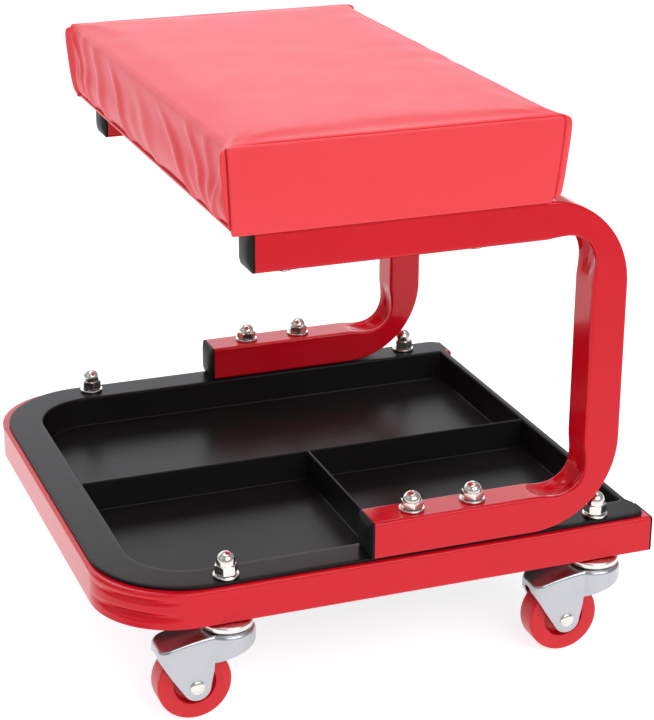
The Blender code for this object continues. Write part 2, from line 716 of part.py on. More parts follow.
clear_scene()
PARTS = new_collection("rolling_creeper_seat")
CUTTERS = new_collection("cutters")
RED_PAINT = finish_material("red_paint", (0.62, 0.02, 0.03), 0.25)
RED_VINYL = finish_material("red_vinyl", (0.80, 0.07, 0.08), 0.45)
RED_WHEEL = finish_material("red_wheel", (0.62, 0.03, 0.04), 0.4)
BLACK_PLASTIC = finish_material("black_plastic", (0.02, 0.02, 0.022), 0.4)
ZINC = finish_material("zinc", (0.75, 0.75, 0.74), 0.25, 1.0)
ZINC_SHEET = finish_material("zinc_sheet", (0.70, 0.71, 0.73), 0.35, 1.0)
PLYWOOD = finish_material("plywood", (0.55, 0.38, 0.22), 0.7)
FOAM = finish_material("foam", (0.80, 0.74, 0.55), 0.9)

make_base_frame()
make_base_plugs()
make_tray()
make_seat()
for side_name, side_sign in SIDES.items():
    make_seat_frame(side_name, side_sign)
    for end_name, bolt_x, screw_x in zip(ENDS, LEG_BOLT_X, SEAT_SCREW_X):
        corner = f"{end_name}_{side_name}"
        make_leg_fasteners(corner, bolt_x, side_sign * RAIL_Y)
        make_seat_screw(f"seat_screw_{corner}", screw_x, side_sign * RAIL_Y)
    for end_name, stem_x in ENDS.items():
        make_caster(f"{end_name}_{side_name}", stem_x, side_sign * RAIL_Y)
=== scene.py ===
"""Looks of the rolling creeper seat: red tube, black tray, padded vinyl seat, zinc casters.

All lengths are in metres.  Every piece is a surface worked out on a grid of two
parameters, and its place comes from the CAD nodes that it stands for.
"""
import json
import math

import bmesh
import bpy
import numpy as np
from mathutils import Matrix, Vector


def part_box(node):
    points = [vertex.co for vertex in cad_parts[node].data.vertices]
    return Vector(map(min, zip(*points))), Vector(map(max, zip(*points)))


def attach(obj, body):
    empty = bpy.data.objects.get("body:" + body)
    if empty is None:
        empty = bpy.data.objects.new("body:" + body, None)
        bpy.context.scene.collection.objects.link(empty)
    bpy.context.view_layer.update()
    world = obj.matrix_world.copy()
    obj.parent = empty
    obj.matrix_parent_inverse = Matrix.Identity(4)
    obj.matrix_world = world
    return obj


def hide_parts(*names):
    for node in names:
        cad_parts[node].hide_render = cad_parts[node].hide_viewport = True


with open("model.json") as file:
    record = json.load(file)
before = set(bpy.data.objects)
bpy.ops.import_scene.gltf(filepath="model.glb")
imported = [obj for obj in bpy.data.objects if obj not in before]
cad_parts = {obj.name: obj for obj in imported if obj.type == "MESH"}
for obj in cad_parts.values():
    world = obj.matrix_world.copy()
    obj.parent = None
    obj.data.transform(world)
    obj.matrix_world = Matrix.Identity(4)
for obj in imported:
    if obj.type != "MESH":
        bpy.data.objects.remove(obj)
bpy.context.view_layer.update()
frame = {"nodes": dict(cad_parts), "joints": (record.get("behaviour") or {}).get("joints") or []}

MM = 0.001
SIDES = {"left": -1.0, "right": 1.0}
CORNERS = [f"{end}_{side}" for end in ("front", "rear") for side in SIDES]


def box(node):
    """A CAD node's lowest and highest corners at rest."""
    return np.array(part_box(node))


BASE = box("base_frame")
TRAY = box("tray")
SEAT_LOW, SEAT_HIGH = box("seat_cover")
TUBE = BASE[1][2] - BASE[0][2]
TUBE_HALF = TUBE / 2
TUBE_CORNER = 2.0 * MM
BASE_BEND = 56 * MM - TUBE_HALF          # radii of the tubes' centre lines in the bends
FRAME_BEND = 60 * MM - TUBE_HALF
PLUG_INSERT = 12 * MM                    # how deep a plug goes into its tube
RNG = np.random.default_rng(11)


# ---------------------------------------------------------------- shader expressions

class Value:
    """A shader socket whose + - * add Math nodes, reflected ones too, so 1 - mask works."""

    def __init__(self, finish, socket):
        self.finish = finish
        self.socket = socket

    def math(self, operation, *others):
        return self.finish.math(operation, self, *others)

    def __add__(self, other):
        return self.math("ADD", other)

    __radd__ = __add__

    def __rsub__(self, other):
        return self.finish.math("SUBTRACT", other, self)

    def __mul__(self, other):
        return self.math("MULTIPLY", other)

    __rmul__ = __mul__

    def band(self, low, high):
        """0 below low, 1 above high, smooth between."""
        node = self.finish.node("ShaderNodeMapRange", {"interpolation_type": "SMOOTHSTEP"},
                                {"Value": self, "From Min": low, "From Max": high})
        return self.finish.value(node, "Result")


class Finish:
    """A material, with one method that adds any node."""

    def __init__(self, name, **sockets):
        self.material = bpy.data.materials.new(name)
        self.material.use_nodes = True
        self.tree = self.material.node_tree
        self.shader = self.tree.nodes["Principled BSDF"]
        self.set(self.shader, sockets)
        self.place = self.value(self.node("ShaderNodeTexCoord"), "Object")

    def set(self, node, sockets):
        for name, value in sockets.items():
            key = name.replace("_", " ") if isinstance(name, str) else name
            if isinstance(value, Value):
                self.tree.links.new(value.socket, node.inputs[key])
            elif (isinstance(value, tuple) and len(value) == 3
                  and node.inputs[key].type == "RGBA"):
                node.inputs[key].default_value = (*value, 1.0)
            else:
                node.inputs[key].default_value = value

    def node(self, kind, settings=None, sockets=None):
        node = self.tree.nodes.new(kind)
        for name, value in (settings or {}).items():
            setattr(node, name, value)
        self.set(node, sockets or {})
        return node

    def value(self, node, output=0):
        return Value(self, node.outputs[output])

    def math(self, operation, *terms):
        return self.value(self.node("ShaderNodeMath", {"operation": operation},
                                    dict(enumerate(terms))))

    def mapped(self, **sockets):
        """The piece's own place, moved by Location or stretched by Scale."""
        return self.value(self.node("ShaderNodeMapping", {}, {"Vector": self.place, **sockets}))

    def noise(self, scale, detail=2.0, place=None, roughness=0.5):
        node = self.node("ShaderNodeTexNoise", {},
                         {"Vector": place or self.place, "Scale": scale, "Detail": detail,
                          "Roughness": roughness})
        return self.value(node, "Fac")

    def cells(self, scale):
        node = self.node("ShaderNodeTexVoronoi", {"feature": "F1"},
                         {"Vector": self.place, "Scale": scale})
        return self.value(node, "Distance")

    def mix(self, factor, first, second):
        """A colour between two, by a value from 0 to 1."""
        return self.value(self.node("ShaderNodeMix", {"data_type": "RGBA"},
                                    {0: factor, 6: first, 7: second}), 2)

    def bump(self, height, strength, distance):
        node = self.node("ShaderNodeBump", {}, {"Height": height, "Strength": strength,
                                                "Distance": distance})
        self.set(self.shader, {"Normal": self.value(node)})


def red_powder_coat():
    """Gloss powder coat: an even red with a very fine orange peel."""
    finish = Finish("red_powder_coat", IOR=1.5, Specular_IOR_Level=0.30)
    drift = finish.noise(14.0, 3.0)
    finish.set(finish.shader, {
        "Base Color": finish.mix(drift, (0.600, 0.0040, 0.013), (0.650, 0.0060, 0.019)),
        "Roughness": 0.07 + 0.05 * finish.noise(60.0, 3.0)})
    peel = finish.noise(620.0, 2.0) + 0.6 * finish.noise(210.0, 2.0)
    finish.bump(peel, 0.05, 0.2 * MM)
    return finish.material


def red_vinyl():
    """Satin upholstery vinyl: a fine pebble grain under a soft sheen."""
    finish = Finish("red_vinyl", IOR=1.5, Specular_IOR_Level=0.42, Sheen_Weight=0.24,
                    Sheen_Roughness=0.35)
    drift = finish.noise(9.0, 3.0)
    grain = finish.cells(1500.0)
    finish.set(finish.shader, {
        "Sheen Tint": (1.0, 0.80, 0.96),
        "Base Color": finish.mix(drift * 0.7 + 0.3 * grain, (0.83, 0.040, 0.053),
                                 (0.89, 0.052, 0.066)),
        "Roughness": 0.38 + 0.10 * finish.noise(45.0, 3.0) + 0.04 * grain})
    pebble = grain * 0.7 + finish.noise(900.0, 2.0) * 0.5
    finish.bump(pebble, 0.16, 0.12 * MM)
    return finish.material


def red_wheel():
    """Moulded polyurethane: satin red with faint turning marks and a little scuffing."""
    finish = Finish("red_wheel", IOR=1.5, Specular_IOR_Level=0.4)
    scuff = finish.noise(120.0, 4.0).band(0.52, 0.75)
    finish.set(finish.shader, {
        "Base Color": finish.mix(scuff, (0.60, 0.005, 0.012), (0.64, 0.014, 0.022)),
        "Roughness": 0.30 + 0.16 * scuff})
    finish.bump(finish.noise(700.0, 3.0), 0.12, 0.15 * MM)
    return finish.material


def black_tray_plastic():
    """Pressed black sheet plastic: satin, with a fine haircell grain."""
    finish = Finish("black_tray_plastic", IOR=1.45, Specular_IOR_Level=0.14)
    grain = finish.cells(1100.0)
    drift = finish.noise(22.0, 3.0)
    finish.set(finish.shader, {
        "Base Color": finish.mix(drift, (0.0080, 0.0080, 0.0085), (0.0115, 0.0115, 0.0115)),
        "Roughness": 0.24 + 0.06 * drift + 0.04 * grain})
    finish.bump(grain * 0.8 + 0.5 * finish.noise(1400.0, 2.0), 0.10, 0.10 * MM)
    return finish.material


def clouded(name, cloud, dark, light, roughness, grain, relief, **sockets):
    """A plain finish: one soft noise varies both its colour and its roughness, and a finer
    one is its relief, with a strength and a depth."""
    finish = Finish(name, **sockets)
    clouds = finish.noise(*cloud)
    finish.set(finish.shader, {"Base Color": finish.mix(clouds, dark, light),
                               "Roughness": roughness[0] + roughness[1] * clouds})
    finish.bump(finish.noise(*grain), *relief)
    return finish.material


def plywood():
    """Birch plywood: long grain on its faces and dark glue lines on its edges."""
    finish = Finish("plywood", Roughness=0.7)
    grain = finish.noise(30.0, 5.0, finish.mapped(Scale=(4.0, 0.25, 4.0)), 0.6)
    plies = finish.node("ShaderNodeTexWave", {"bands_direction": "Z"},
                        {"Vector": finish.place, "Scale": 95.0, "Distortion": 0.4})
    colour = finish.mix(grain, (0.42, 0.27, 0.13), (0.66, 0.48, 0.28))
    ply = finish.value(plies, "Fac").band(0.72, 0.95) * 0.35
    finish.set(finish.shader, {"Base Color": finish.mix(ply, colour, (0.20, 0.11, 0.05)),
                               "Roughness": 0.62 + 0.16 * grain})
    finish.bump(grain, 0.25, 0.3 * MM)
    return finish.material


# ---------------------------------------------------------------- grids, loops and pieces

def quads(rows, columns, close_rows=False, close_columns=False):
    """Corner numbers of the four-sided faces of a grid of points, row by row."""
    row, column = np.indices((rows if close_rows else rows - 1,
                              columns if close_columns else columns - 1))
    below, after = (row + 1) % rows, (column + 1) % columns
    corners = [row * columns + column, row * columns + after,
               below * columns + after, below * columns + column]
    return np.stack(corners, -1).reshape(-1, 4).tolist()


def at_level(flat, level):
    """A flat loop of points at a level, which may vary along it."""
    return np.column_stack([flat, np.broadcast_to(level, len(flat))])


def polar(radius, turn, level):
    """Points at a radius and an angle, at a level; the three broadcast together."""
    flat = radius * np.cos(turn), radius * np.sin(turn)
    return np.stack(np.broadcast_arrays(*flat, level), -1)


def ring_shell(rings, caps=True):
    """A closed shell from closed rings of points, (rings, points, 3), with flat end caps, or
    with the last ring joined to the first."""
    rings = np.asarray(rings)
    count, around = rings.shape[:2]
    faces = quads(count, around, close_rows=not caps, close_columns=True)
    if caps:
        faces += [list(range(around)), list(range((count - 1) * around, count * around))]
    return rings.reshape(-1, 3), faces


def raw_mesh(name, shells):
    """One mesh from several shells, seams welded and faces turned outwards."""
    points, faces, start = [], [], 0
    for shell_points, shell_faces in shells:
        points.append(shell_points)
        faces += [[corner + start for corner in face] for face in shell_faces]
        start += len(shell_points)
    mesh = bpy.data.meshes.new(name)
    mesh.from_pydata(np.vstack(points).tolist(), [], faces)
    shape = bmesh.new()
    shape.from_mesh(mesh)
    bmesh.ops.remove_doubles(shape, verts=shape.verts, dist=1e-6)
    bmesh.ops.recalc_face_normals(shape, faces=shape.faces)
    shape.to_mesh(mesh)
    shape.free()
    return mesh


def add_object(name, data):
    added = bpy.data.objects.new(name, data)
    bpy.context.scene.collection.objects.link(added)
    return added


def make_piece(name, shells, material, stands_for=(), body="chassis", sharp=40.0):
    """Put shells into a named piece that rides on a body and stands for CAD nodes."""
    mesh = raw_mesh(name, shells)
    piece = add_object(name, mesh)
    mesh.materials.append(material)
    mesh.shade_smooth()
    mesh.set_sharp_from_angle(angle=math.radians(sharp))
    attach(piece, body)
    if stands_for:
        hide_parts(*stands_for)
    return piece


class Loop:
    """A rectangle with a rounded corner of its own radius at each of its four corners.

    A point is its corner's centre plus the radius along the corner's normal; along a
    straight side it is a blend from one corner's last point to the next one's first.
    """

    def __init__(self, per_side=16, per_corner=10):
        on_arc = np.arange(4)[:, None] + np.linspace(0, 1, per_corner)[None, :]
        on_side = np.broadcast_to(np.arange(1, 5)[:, None], (4, per_side))
        self.angle = np.hstack([on_arc, on_side]).ravel() * math.pi / 2
        self.first = np.repeat(np.arange(4), per_corner + per_side)
        along = np.linspace(0, 1, per_side + 2)[1:-1]
        self.blend = np.tile(np.hstack([np.zeros(per_corner), along]), 4)
        self.normal = np.stack([np.cos(self.angle), np.sin(self.angle)], -1)

    def points(self, low, high, radii):
        """The loop between two corners (x, y), with radii at (+ +), (- +), (- -), (+ -)."""
        low, high, radii = np.asarray(low), np.asarray(high), np.broadcast_to(radii, 4)
        signs = np.array([[1, 1], [-1, 1], [-1, -1], [1, -1]])
        outer = np.where(signs > 0, high, low)
        centres = outer - signs * radii[:, None]
        def at(corner):
            return centres[corner] + radii[corner][:, None] * self.normal
        following = (self.first + 1) % 4
        return at(self.first) * (1 - self.blend)[:, None] + at(following) * self.blend[:, None]


def quarter(steps):
    """(sine, 1 - cosine) over a quarter turn, for roundings."""
    turn = np.linspace(0, math.pi / 2, steps)
    return np.stack([np.sin(turn), 1 - np.cos(turn)], -1)


def turned_shell(profile, centre, axis="z", columns=72):
    """A profile of (radius, height) carried round an axis.  One that ends where it starts
    makes a ring, without caps."""
    profile = np.asarray(profile, float)
    ring = np.allclose(profile[0], profile[-1])
    if ring:
        profile = profile[:-1]
    turn = np.linspace(0, math.tau, columns, endpoint=False)
    points = polar(profile[:, :1], turn, profile[:, 1:])
    if axis == "y":
        points = points[..., [0, 2, 1]]
    return ring_shell(points + centre, caps=not ring)


# ---------------------------------------------------------------- bent square tube

def bent_path(corners, radius, run_steps=10, bend_steps=56):
    """A flat path through four corners, with a round bend at the middle two.

    Gives its points, the normals that look away from the bends' centres, and the angle
    turned so far in the bend, 0 to pi/2, which is 0 on the straight runs.
    """
    corners = np.asarray(corners, float)
    heading = np.diff(corners, axis=0)
    heading /= np.linalg.norm(heading, axis=1)[:, None]
    turn = np.sign(heading[0, 0] * heading[1, 1] - heading[0, 1] * heading[1, 0])
    outward = turn * np.stack([heading[:, 1], -heading[:, 0]], -1)
    points, normals, phases = [], [], []
    for run in range(3):
        start = corners[run] + heading[run] * radius * (run > 0)
        end = corners[run + 1] - heading[run] * radius * (run < 2)
        along = np.linspace(0, 1, run_steps)[:, None]
        points.append(start + (end - start) * along)
        normals.append(np.broadcast_to(outward[run], (run_steps, 2)))
        phases.append(np.zeros(run_steps))
        if run < 2:
            angle = np.linspace(0, math.pi / 2, bend_steps + 2)[1:-1, None]
            centre = end - outward[run] * radius
            normal = outward[run] * np.cos(angle) + heading[run] * np.sin(angle)
            points.append(centre + radius * normal)
            normals.append(normal)
            phases.append(angle[:, 0])
    return np.vstack(points), np.vstack(normals), np.hstack(phases)


def tube_section():
    """The square tube's section about its middle: (across the bend, along the bend's axis)."""
    loop = Loop(per_side=30, per_corner=8)
    return loop.points((-TUBE_HALF, -TUBE_HALF), (TUBE_HALF, TUBE_HALF), TUBE_CORNER)


def swept_tube(path, crush):
    """The section carried along a flat path, as (stations, points, 3): along, across, level.

    crush(section, phase) moves the section's points where the tube was bent.
    """
    points, normals, phase = path
    section = crush(tube_section(), np.sin(2 * phase) ** 2)
    across = section[..., 0, None] * normals[:, None, :]
    level = section[..., 1, None]
    return np.concatenate([points[:, None, :] + across, level], -1)


def crush_outside(section, amount):
    """Base bends: between its two edges the outer wall sinks and folds into two grooves,
    each a bell curve over the wall's height, with a belly left between them."""
    across, level = np.broadcast_arrays(section[None, :, 0], section[None, :, 1])
    out = np.clip(across / TUBE_HALF, 0, 1) ** 6
    share = level / TUBE + 0.5
    edge = np.clip(np.abs(level) / (TUBE_HALF - 0.6 * TUBE_CORNER), 0, 1)
    hollow = 1.8 * MM * np.cos(edge * math.pi / 2) ** 0.7
    grooves = 3.0 * MM * (np.exp(-((share - 0.35) / 0.075) ** 2)
                          + 0.8 * np.exp(-((share - 0.76) / 0.065) ** 2))
    sink = (hollow + grooves * (edge < 1)) * out * amount[:, None]
    return np.stack([across - sink, level + 0 * sink], -1)


def crush_inside(section, amount):
    """Seat frame bends: the inner wall folds in, and the side walls narrow with it."""
    across, level = np.broadcast_arrays(section[None, :, 0], section[None, :, 1])
    inward = np.clip(-across / TUBE_HALF, 0, 1)
    reach = np.clip(np.abs(level) / (TUBE_HALF - 1.2 * TUBE_CORNER), 0, 1)
    narrow = 8.5 * MM * np.clip(0.5 - across / TUBE, 0, 1)
    channel = 6.5 * MM * np.cos(reach * math.pi / 2) ** 1.3 * inward ** 8
    ridge = 1.0 * MM * np.cos(reach * math.pi * 1.5) ** 2 * (reach < 1) * inward ** 8
    flare = 0.5 * MM * np.sign(level) * inward * (reach > 0.8)
    scale = amount[:, None]
    return np.stack([across + (narrow + channel - ridge) * scale, level + flare * scale], -1)


def make_base(material):
    """The U of tube, in the floor's plane."""
    low, high = BASE
    front, rail = low[0] + TUBE_HALF, high[1] - TUBE_HALF
    corners = [(high[0], -rail), (front, -rail), (front, rail), (high[0], rail)]
    rings = swept_tube(bent_path(corners, BASE_BEND), crush_outside)
    rings[..., 2] += low[2] + TUBE_HALF
    make_piece("base_tube", [ring_shell(rings)], material, ["base_frame"])


def make_seat_frame(side, material):
    """One C of tube, upright, open to the front."""
    node = f"seat_frame_{side}"
    low, high = box(node)
    rear = high[0] - TUBE_HALF
    lower_front = box(f"lower_leg_plug_{side}")[1][0] - PLUG_INSERT
    path = bent_path([(lower_front, low[2] + TUBE_HALF), (rear, low[2] + TUBE_HALF),
                      (rear, high[2] - TUBE_HALF), (low[0], high[2] - TUBE_HALF)], FRAME_BEND)
    rings = swept_tube(path, crush_inside)[..., [0, 2, 1]]
    rings[..., 1] += (low[1] + high[1]) / 2
    make_piece(f"{node}_tube", [ring_shell(rings)], material, [node])


def plug_shell(height, bulge):
    """A plug's head on its own axis, up from the tube's end: a short upright rim, a small
    round, and a face that bows up as one minus the cube of the distance from its middle."""
    loop = Loop(per_side=14, per_corner=8)
    curve = quarter(5)
    rounding, gap = 0.5 * MM, 0.1 * MM
    rim = height - 0.3 * MM - bulge - rounding
    face = np.array([1.1, 1.9, 3, 4.4, 6, 8, 10]) * MM
    inset = np.hstack([0, 0, rounding * curve[:, 1], face])
    level = np.hstack([gap, rim, rim + rounding * curve[:, 0], rim + rounding + 0 * face])
    rings = []
    for pull, rise in zip(inset, level):
        half = TUBE_HALF - pull
        crown = bulge * (1 - (half / (TUBE_HALF - rounding)) ** 3) if pull > rounding else 0
        radius = min(TUBE_CORNER + pull * 0.25, half * 0.9)
        rings.append(at_level(loop.points((-half, -half), (half, half), radius), rise + crown))
    return np.array(rings)


def make_plugs(material):
    """The heads of the six plugs, turned to look out of their tubes."""
    for side in SIDES:
        for node, outward, bulge in ((f"base_plug_{side}", 1.0, 0.2 * MM),
                                     (f"lower_leg_plug_{side}", -1.0, 2.6 * MM),
                                     (f"upper_leg_plug_{side}", -1.0, 2.6 * MM)):
            low, high = box(node)
            start = low[0] + PLUG_INSERT if outward > 0 else high[0] - PLUG_INSERT
            rings = plug_shell(high[0] - low[0] - PLUG_INSERT, bulge)
            middle = (low + high) / 2
            placed = np.stack([start + outward * rings[..., 2], middle[1] + rings[..., 0],
                               middle[2] + rings[..., 1]], -1)
            make_piece(f"{node}_head", [ring_shell(placed)], material, [node])


# ---------------------------------------------------------------- tray

TRAY_WALL = 2.0 * MM
BASIN_SIDE = 152.5 * MM
BASIN_FRONT = BASE[0][0] + 25.5 * MM
BASIN_REAR = BASE[1][0] - 7.0 * MM
EAR = 2.5 * MM                           # how far the flange's rear corners stand out


def tray_shell():
    """The tray as rings from the middle of its underside, out round the flange, and in again
    to the middle of its floor.  A ring blends the basin's outline into the flange's."""
    low, high = TRAY
    loop = Loop(per_side=60, per_corner=18)
    basin = np.array([BASIN_FRONT, -BASIN_SIDE, BASIN_REAR, BASIN_SIDE])
    basin_radii = np.array([4, 42, 42, 4]) * MM
    flange = np.array([low[0], low[1], high[0] - EAR, high[1]])
    flange_radii = np.array([8, 63, 63, 8]) * MM
    under, top, floor = high[2] - 2 * MM, high[2], low[2] + TRAY_WALL
    round_in = quarter(7)
    rows = [(0, 12, low[2]), (0, 3, low[2])]
    rows += [(0, 3 * (1 - s), low[2] + 3 * MM * c) for s, c in round_in[1:]]
    rows += [(0, 0, under - 2 * MM), (0, -1, under), (0.5, 0, under), (1, 0.3, under),
             (1, 0, under + 0.3 * MM), (1, 0, top - 0.8 * MM)]
    rows += [(1, 0.8 * c, top - 0.8 * MM * (1 - s)) for s, c in round_in[1:]]
    rows += [(0.85, 0.5, top), (0.5, 0, top), (0.1, 0.2, top)]
    rows += [(0, 2 - 1.5 * (1 - s), top - 1.5 * MM * c) for s, c in round_in]
    rows += [(0, 2.15, (top + floor) / 2), (0, 2.3, floor + 1.2 * MM)]
    rows += [(0, 2.3 + 1.2 * c, floor + 1.2 * MM * (1 - s)) for s, c in round_in[1:]]
    rows += [(0, 16, floor), (0, 40, floor)]
    rings = []
    for blend, inset, level in rows:
        outline = basin * (1 - blend) + flange * blend
        pull = inset * MM
        radii = np.maximum(basin_radii * (1 - blend) + flange_radii * blend - pull, 1.2 * MM)
        flat = loop.points(outline[:2] + pull, outline[2:] - pull, radii)
        past_basin = np.clip((np.abs(flat[:, 1]) - 153 * MM) / (2 * MM), 0, 1)
        flat[:, 0] += EAR * blend ** 3 * past_basin * (loop.normal[:, 0] > 0.2)
        rings.append(at_level(flat, level))
    return ring_shell(rings)


def divider_shell(start, end, floor, top):
    """A thin wall between two points: a section with filleted feet and a round top, swept."""
    half, fillet, stations = 0.9 * MM, 0.9 * MM, 24
    side = [(half + fillet * (1 - s), floor + fillet * c) for s, c in quarter(6)]
    crown = [(half * math.cos(a), top - half + half * math.sin(a))
             for a in np.linspace(0, math.pi / 2, 6)]
    right = np.array([(half + fillet + 0.5 * MM, floor - 0.6 * MM)] + side + crown)
    section = np.vstack([right, right[-2::-1] * (-1, 1)])
    start, end = np.asarray(start), np.asarray(end)
    heading = (end - start) / np.linalg.norm(end - start)
    across = np.array([-heading[1], heading[0]])
    middle = start + (end - start) * np.linspace(0, 1, stations)[:, None]
    flat = middle[:, None, :] + section[None, :, :1] * across
    level = np.broadcast_to(section[:, 1, None], (stations, len(section), 1))
    return ring_shell(np.concatenate([flat, level], -1))


def make_tray(material):
    """The moulding, with one divider along it and one across its left half."""
    low, high = TRAY
    floor, top = low[2] + TRAY_WALL, high[2] - 0.5 * MM
    middle, cross, wall = 1.5 * MM, 7.0 * MM, 1.2 * MM
    front, rear = (BASIN_FRONT + wall, middle), (BASIN_REAR - wall, middle)
    shells = [tray_shell(), divider_shell(front, rear, floor, top),
              divider_shell((cross, middle), (cross, -BASIN_SIDE + wall), floor, top)]
    make_piece("tray_moulding", shells, material, ["tray"], sharp=50.0)


# ---------------------------------------------------------------- nuts, washers, bolts, screws

def hex_reach(turn, flats):
    """How far a hexagon reaches at each angle, for a distance across its flats."""
    within = np.mod(turn + math.pi / 6, math.pi / 3) - math.pi / 6
    return flats / 2 / np.cos(within)


def on_foot(node):
    """The middle of a CAD node's foot, and the node's height."""
    low, high = box(node)
    middle = (low + high) / 2
    return np.array([middle[0], middle[1], low[2]]), high[2] - low[2]


def cap_nut_shell(foot, height, hexagon, twist):
    """A cap nut: a hexagon cut by a cone at both ends, a neck, and a dome."""
    flats, cut, dome, around = 13 * MM, 1.2 * MM, 6.0 * MM, 96
    turn = np.linspace(0, math.tau, around, endpoint=False)
    reach = hex_reach(turn + twist, flats)
    level = np.hstack([np.linspace(0, cut, 6),
                       np.linspace(cut + 0.2 * MM, hexagon - cut - 0.2 * MM, 5),
                       np.linspace(hexagon - cut, hexagon, 6)])
    cone = flats / 2 - 0.1 * MM + np.minimum(level, hexagon - level) * 1.75
    spring = max(height - dome, hexagon + 0.1 * MM)
    angle = np.linspace(0, math.pi / 2 * 0.97, 14)
    round_part = np.hstack([dome + 0.15 * MM, dome * np.cos(angle)])
    radius = np.vstack([np.minimum(reach, cone[:, None]),
                        np.repeat(round_part[:, None], around, axis=1)])
    rise = np.hstack([level, hexagon + 0.02 * MM, spring + (height - spring) * np.sin(angle)])
    return ring_shell(polar(radius, turn, rise[:, None]) + foot)


def washer_shell(foot, thickness):
    """A flat washer with its rims rounded."""
    outer, inner, rim = 8.4 * MM, 4.4 * MM, 0.35 * MM
    curve = quarter(5)
    top = [(outer - rim * c, thickness - rim * (1 - s)) for s, c in curve]
    bottom = [(outer - rim * c, rim * (1 - s)) for s, c in curve[::-1]]
    profile = [(inner, thickness)] + top[::-1] + bottom[::-1] + [(inner, 0), (inner, thickness)]
    return turned_shell(profile, foot)


def dome_head(radius, height, rim, shank):
    """Profile of a domed head that hangs under a face: from its lowest point out and up to
    the face, and in to its shank."""
    dome = [(radius * math.sin(a), (height - rim) * (1 - math.cos(a)))
            for a in np.linspace(0.02, math.pi / 2, 12)]
    return dome + [(radius, height), (shank, height)]


def make_fasteners(zinc):
    """Every nut, washer, bolt and screw, each nut with a small turn of its own."""
    for corner in CORNERS:
        for kind, hexagon in (("leg", 4.8 * MM), ("caster", 6.5 * MM)):
            nut, washer = f"{kind}_nut_{corner}", f"{kind}_washer_{corner}"
            make_piece(f"{washer}_turned", [washer_shell(*on_foot(washer))], zinc,
                       [washer])
            shell = cap_nut_shell(*on_foot(nut), hexagon, RNG.uniform(0, math.pi / 3))
            make_piece(f"{nut}_turned", [shell], zinc, [nut], sharp=24.0)
        bolt = f"leg_bolt_{corner}"
        foot, height = on_foot(bolt)
        head, shank = 8 * MM, 4 * MM
        profile = dome_head(head, BASE[0][2] - 0.3 * MM - foot[2], 0.9 * MM, shank)
        make_piece(f"{bolt}_turned", [turned_shell(profile + [(shank, height)], foot)], zinc,
                   [bolt])
        make_seat_screw(corner, zinc)


def make_seat_screw(corner, zinc):
    """A pan-head screw, head down: a crown with a cross recess, and a pointed shank."""
    node = f"seat_screw_{corner}"
    foot, height = on_foot(node)
    turn = np.linspace(0, math.tau, 96, endpoint=False)
    head = np.array([(0.02, 0.1), (0.5, 0.1), (1.0, 0.1), (1.5, 0.12), (2.0, 0.14), (2.5, 0.18),
                     (3.0, 0.25), (3.8, 0.45), (4.6, 0.85), (5.2, 1.4), (5.45, 2.0), (5.5, 2.6),
                     (5.5, 3.5)]) * MM
    radius, crown = head[:, :1], head[:, 1:]
    cross = 1.4 * np.abs(np.cos(2 * turn)) ** 10
    recess = (radius < 2.8 * MM) * (cross + 0.8 * (radius < 0.8 * MM)) * MM
    shank = np.array([(2.6 * MM, 3.5 * MM), (2.6 * MM, height - 3 * MM), (0.5 * MM, height)])
    rings = np.concatenate([polar(radius, turn, crown + recess),
                            polar(shank[:, :1], turn, shank[:, 1:])])
    make_piece(f"{node}_turned", [ring_shell(rings + foot)], zinc, [node])


# ---------------------------------------------------------------- casters

YOKE_SHEET = 1.8 * MM
YOKE_HALF = 13.5 * MM
PAN_RADIUS = 18.3 * MM
CASTER_TRAIL = 24 * MM
PAN_TOP = -6 * MM
AXLE_DROP = -40.5 * MM


def along_polyline(points, count):
    """count points spread evenly by length along straight legs."""
    points = np.asarray(points, float)
    length = np.hstack([0, np.cumsum(np.linalg.norm(np.diff(points, axis=0), axis=1))])
    where = np.linspace(0, length[-1], count)
    return np.stack([np.interp(where, length, part) for part in points.T], -1)


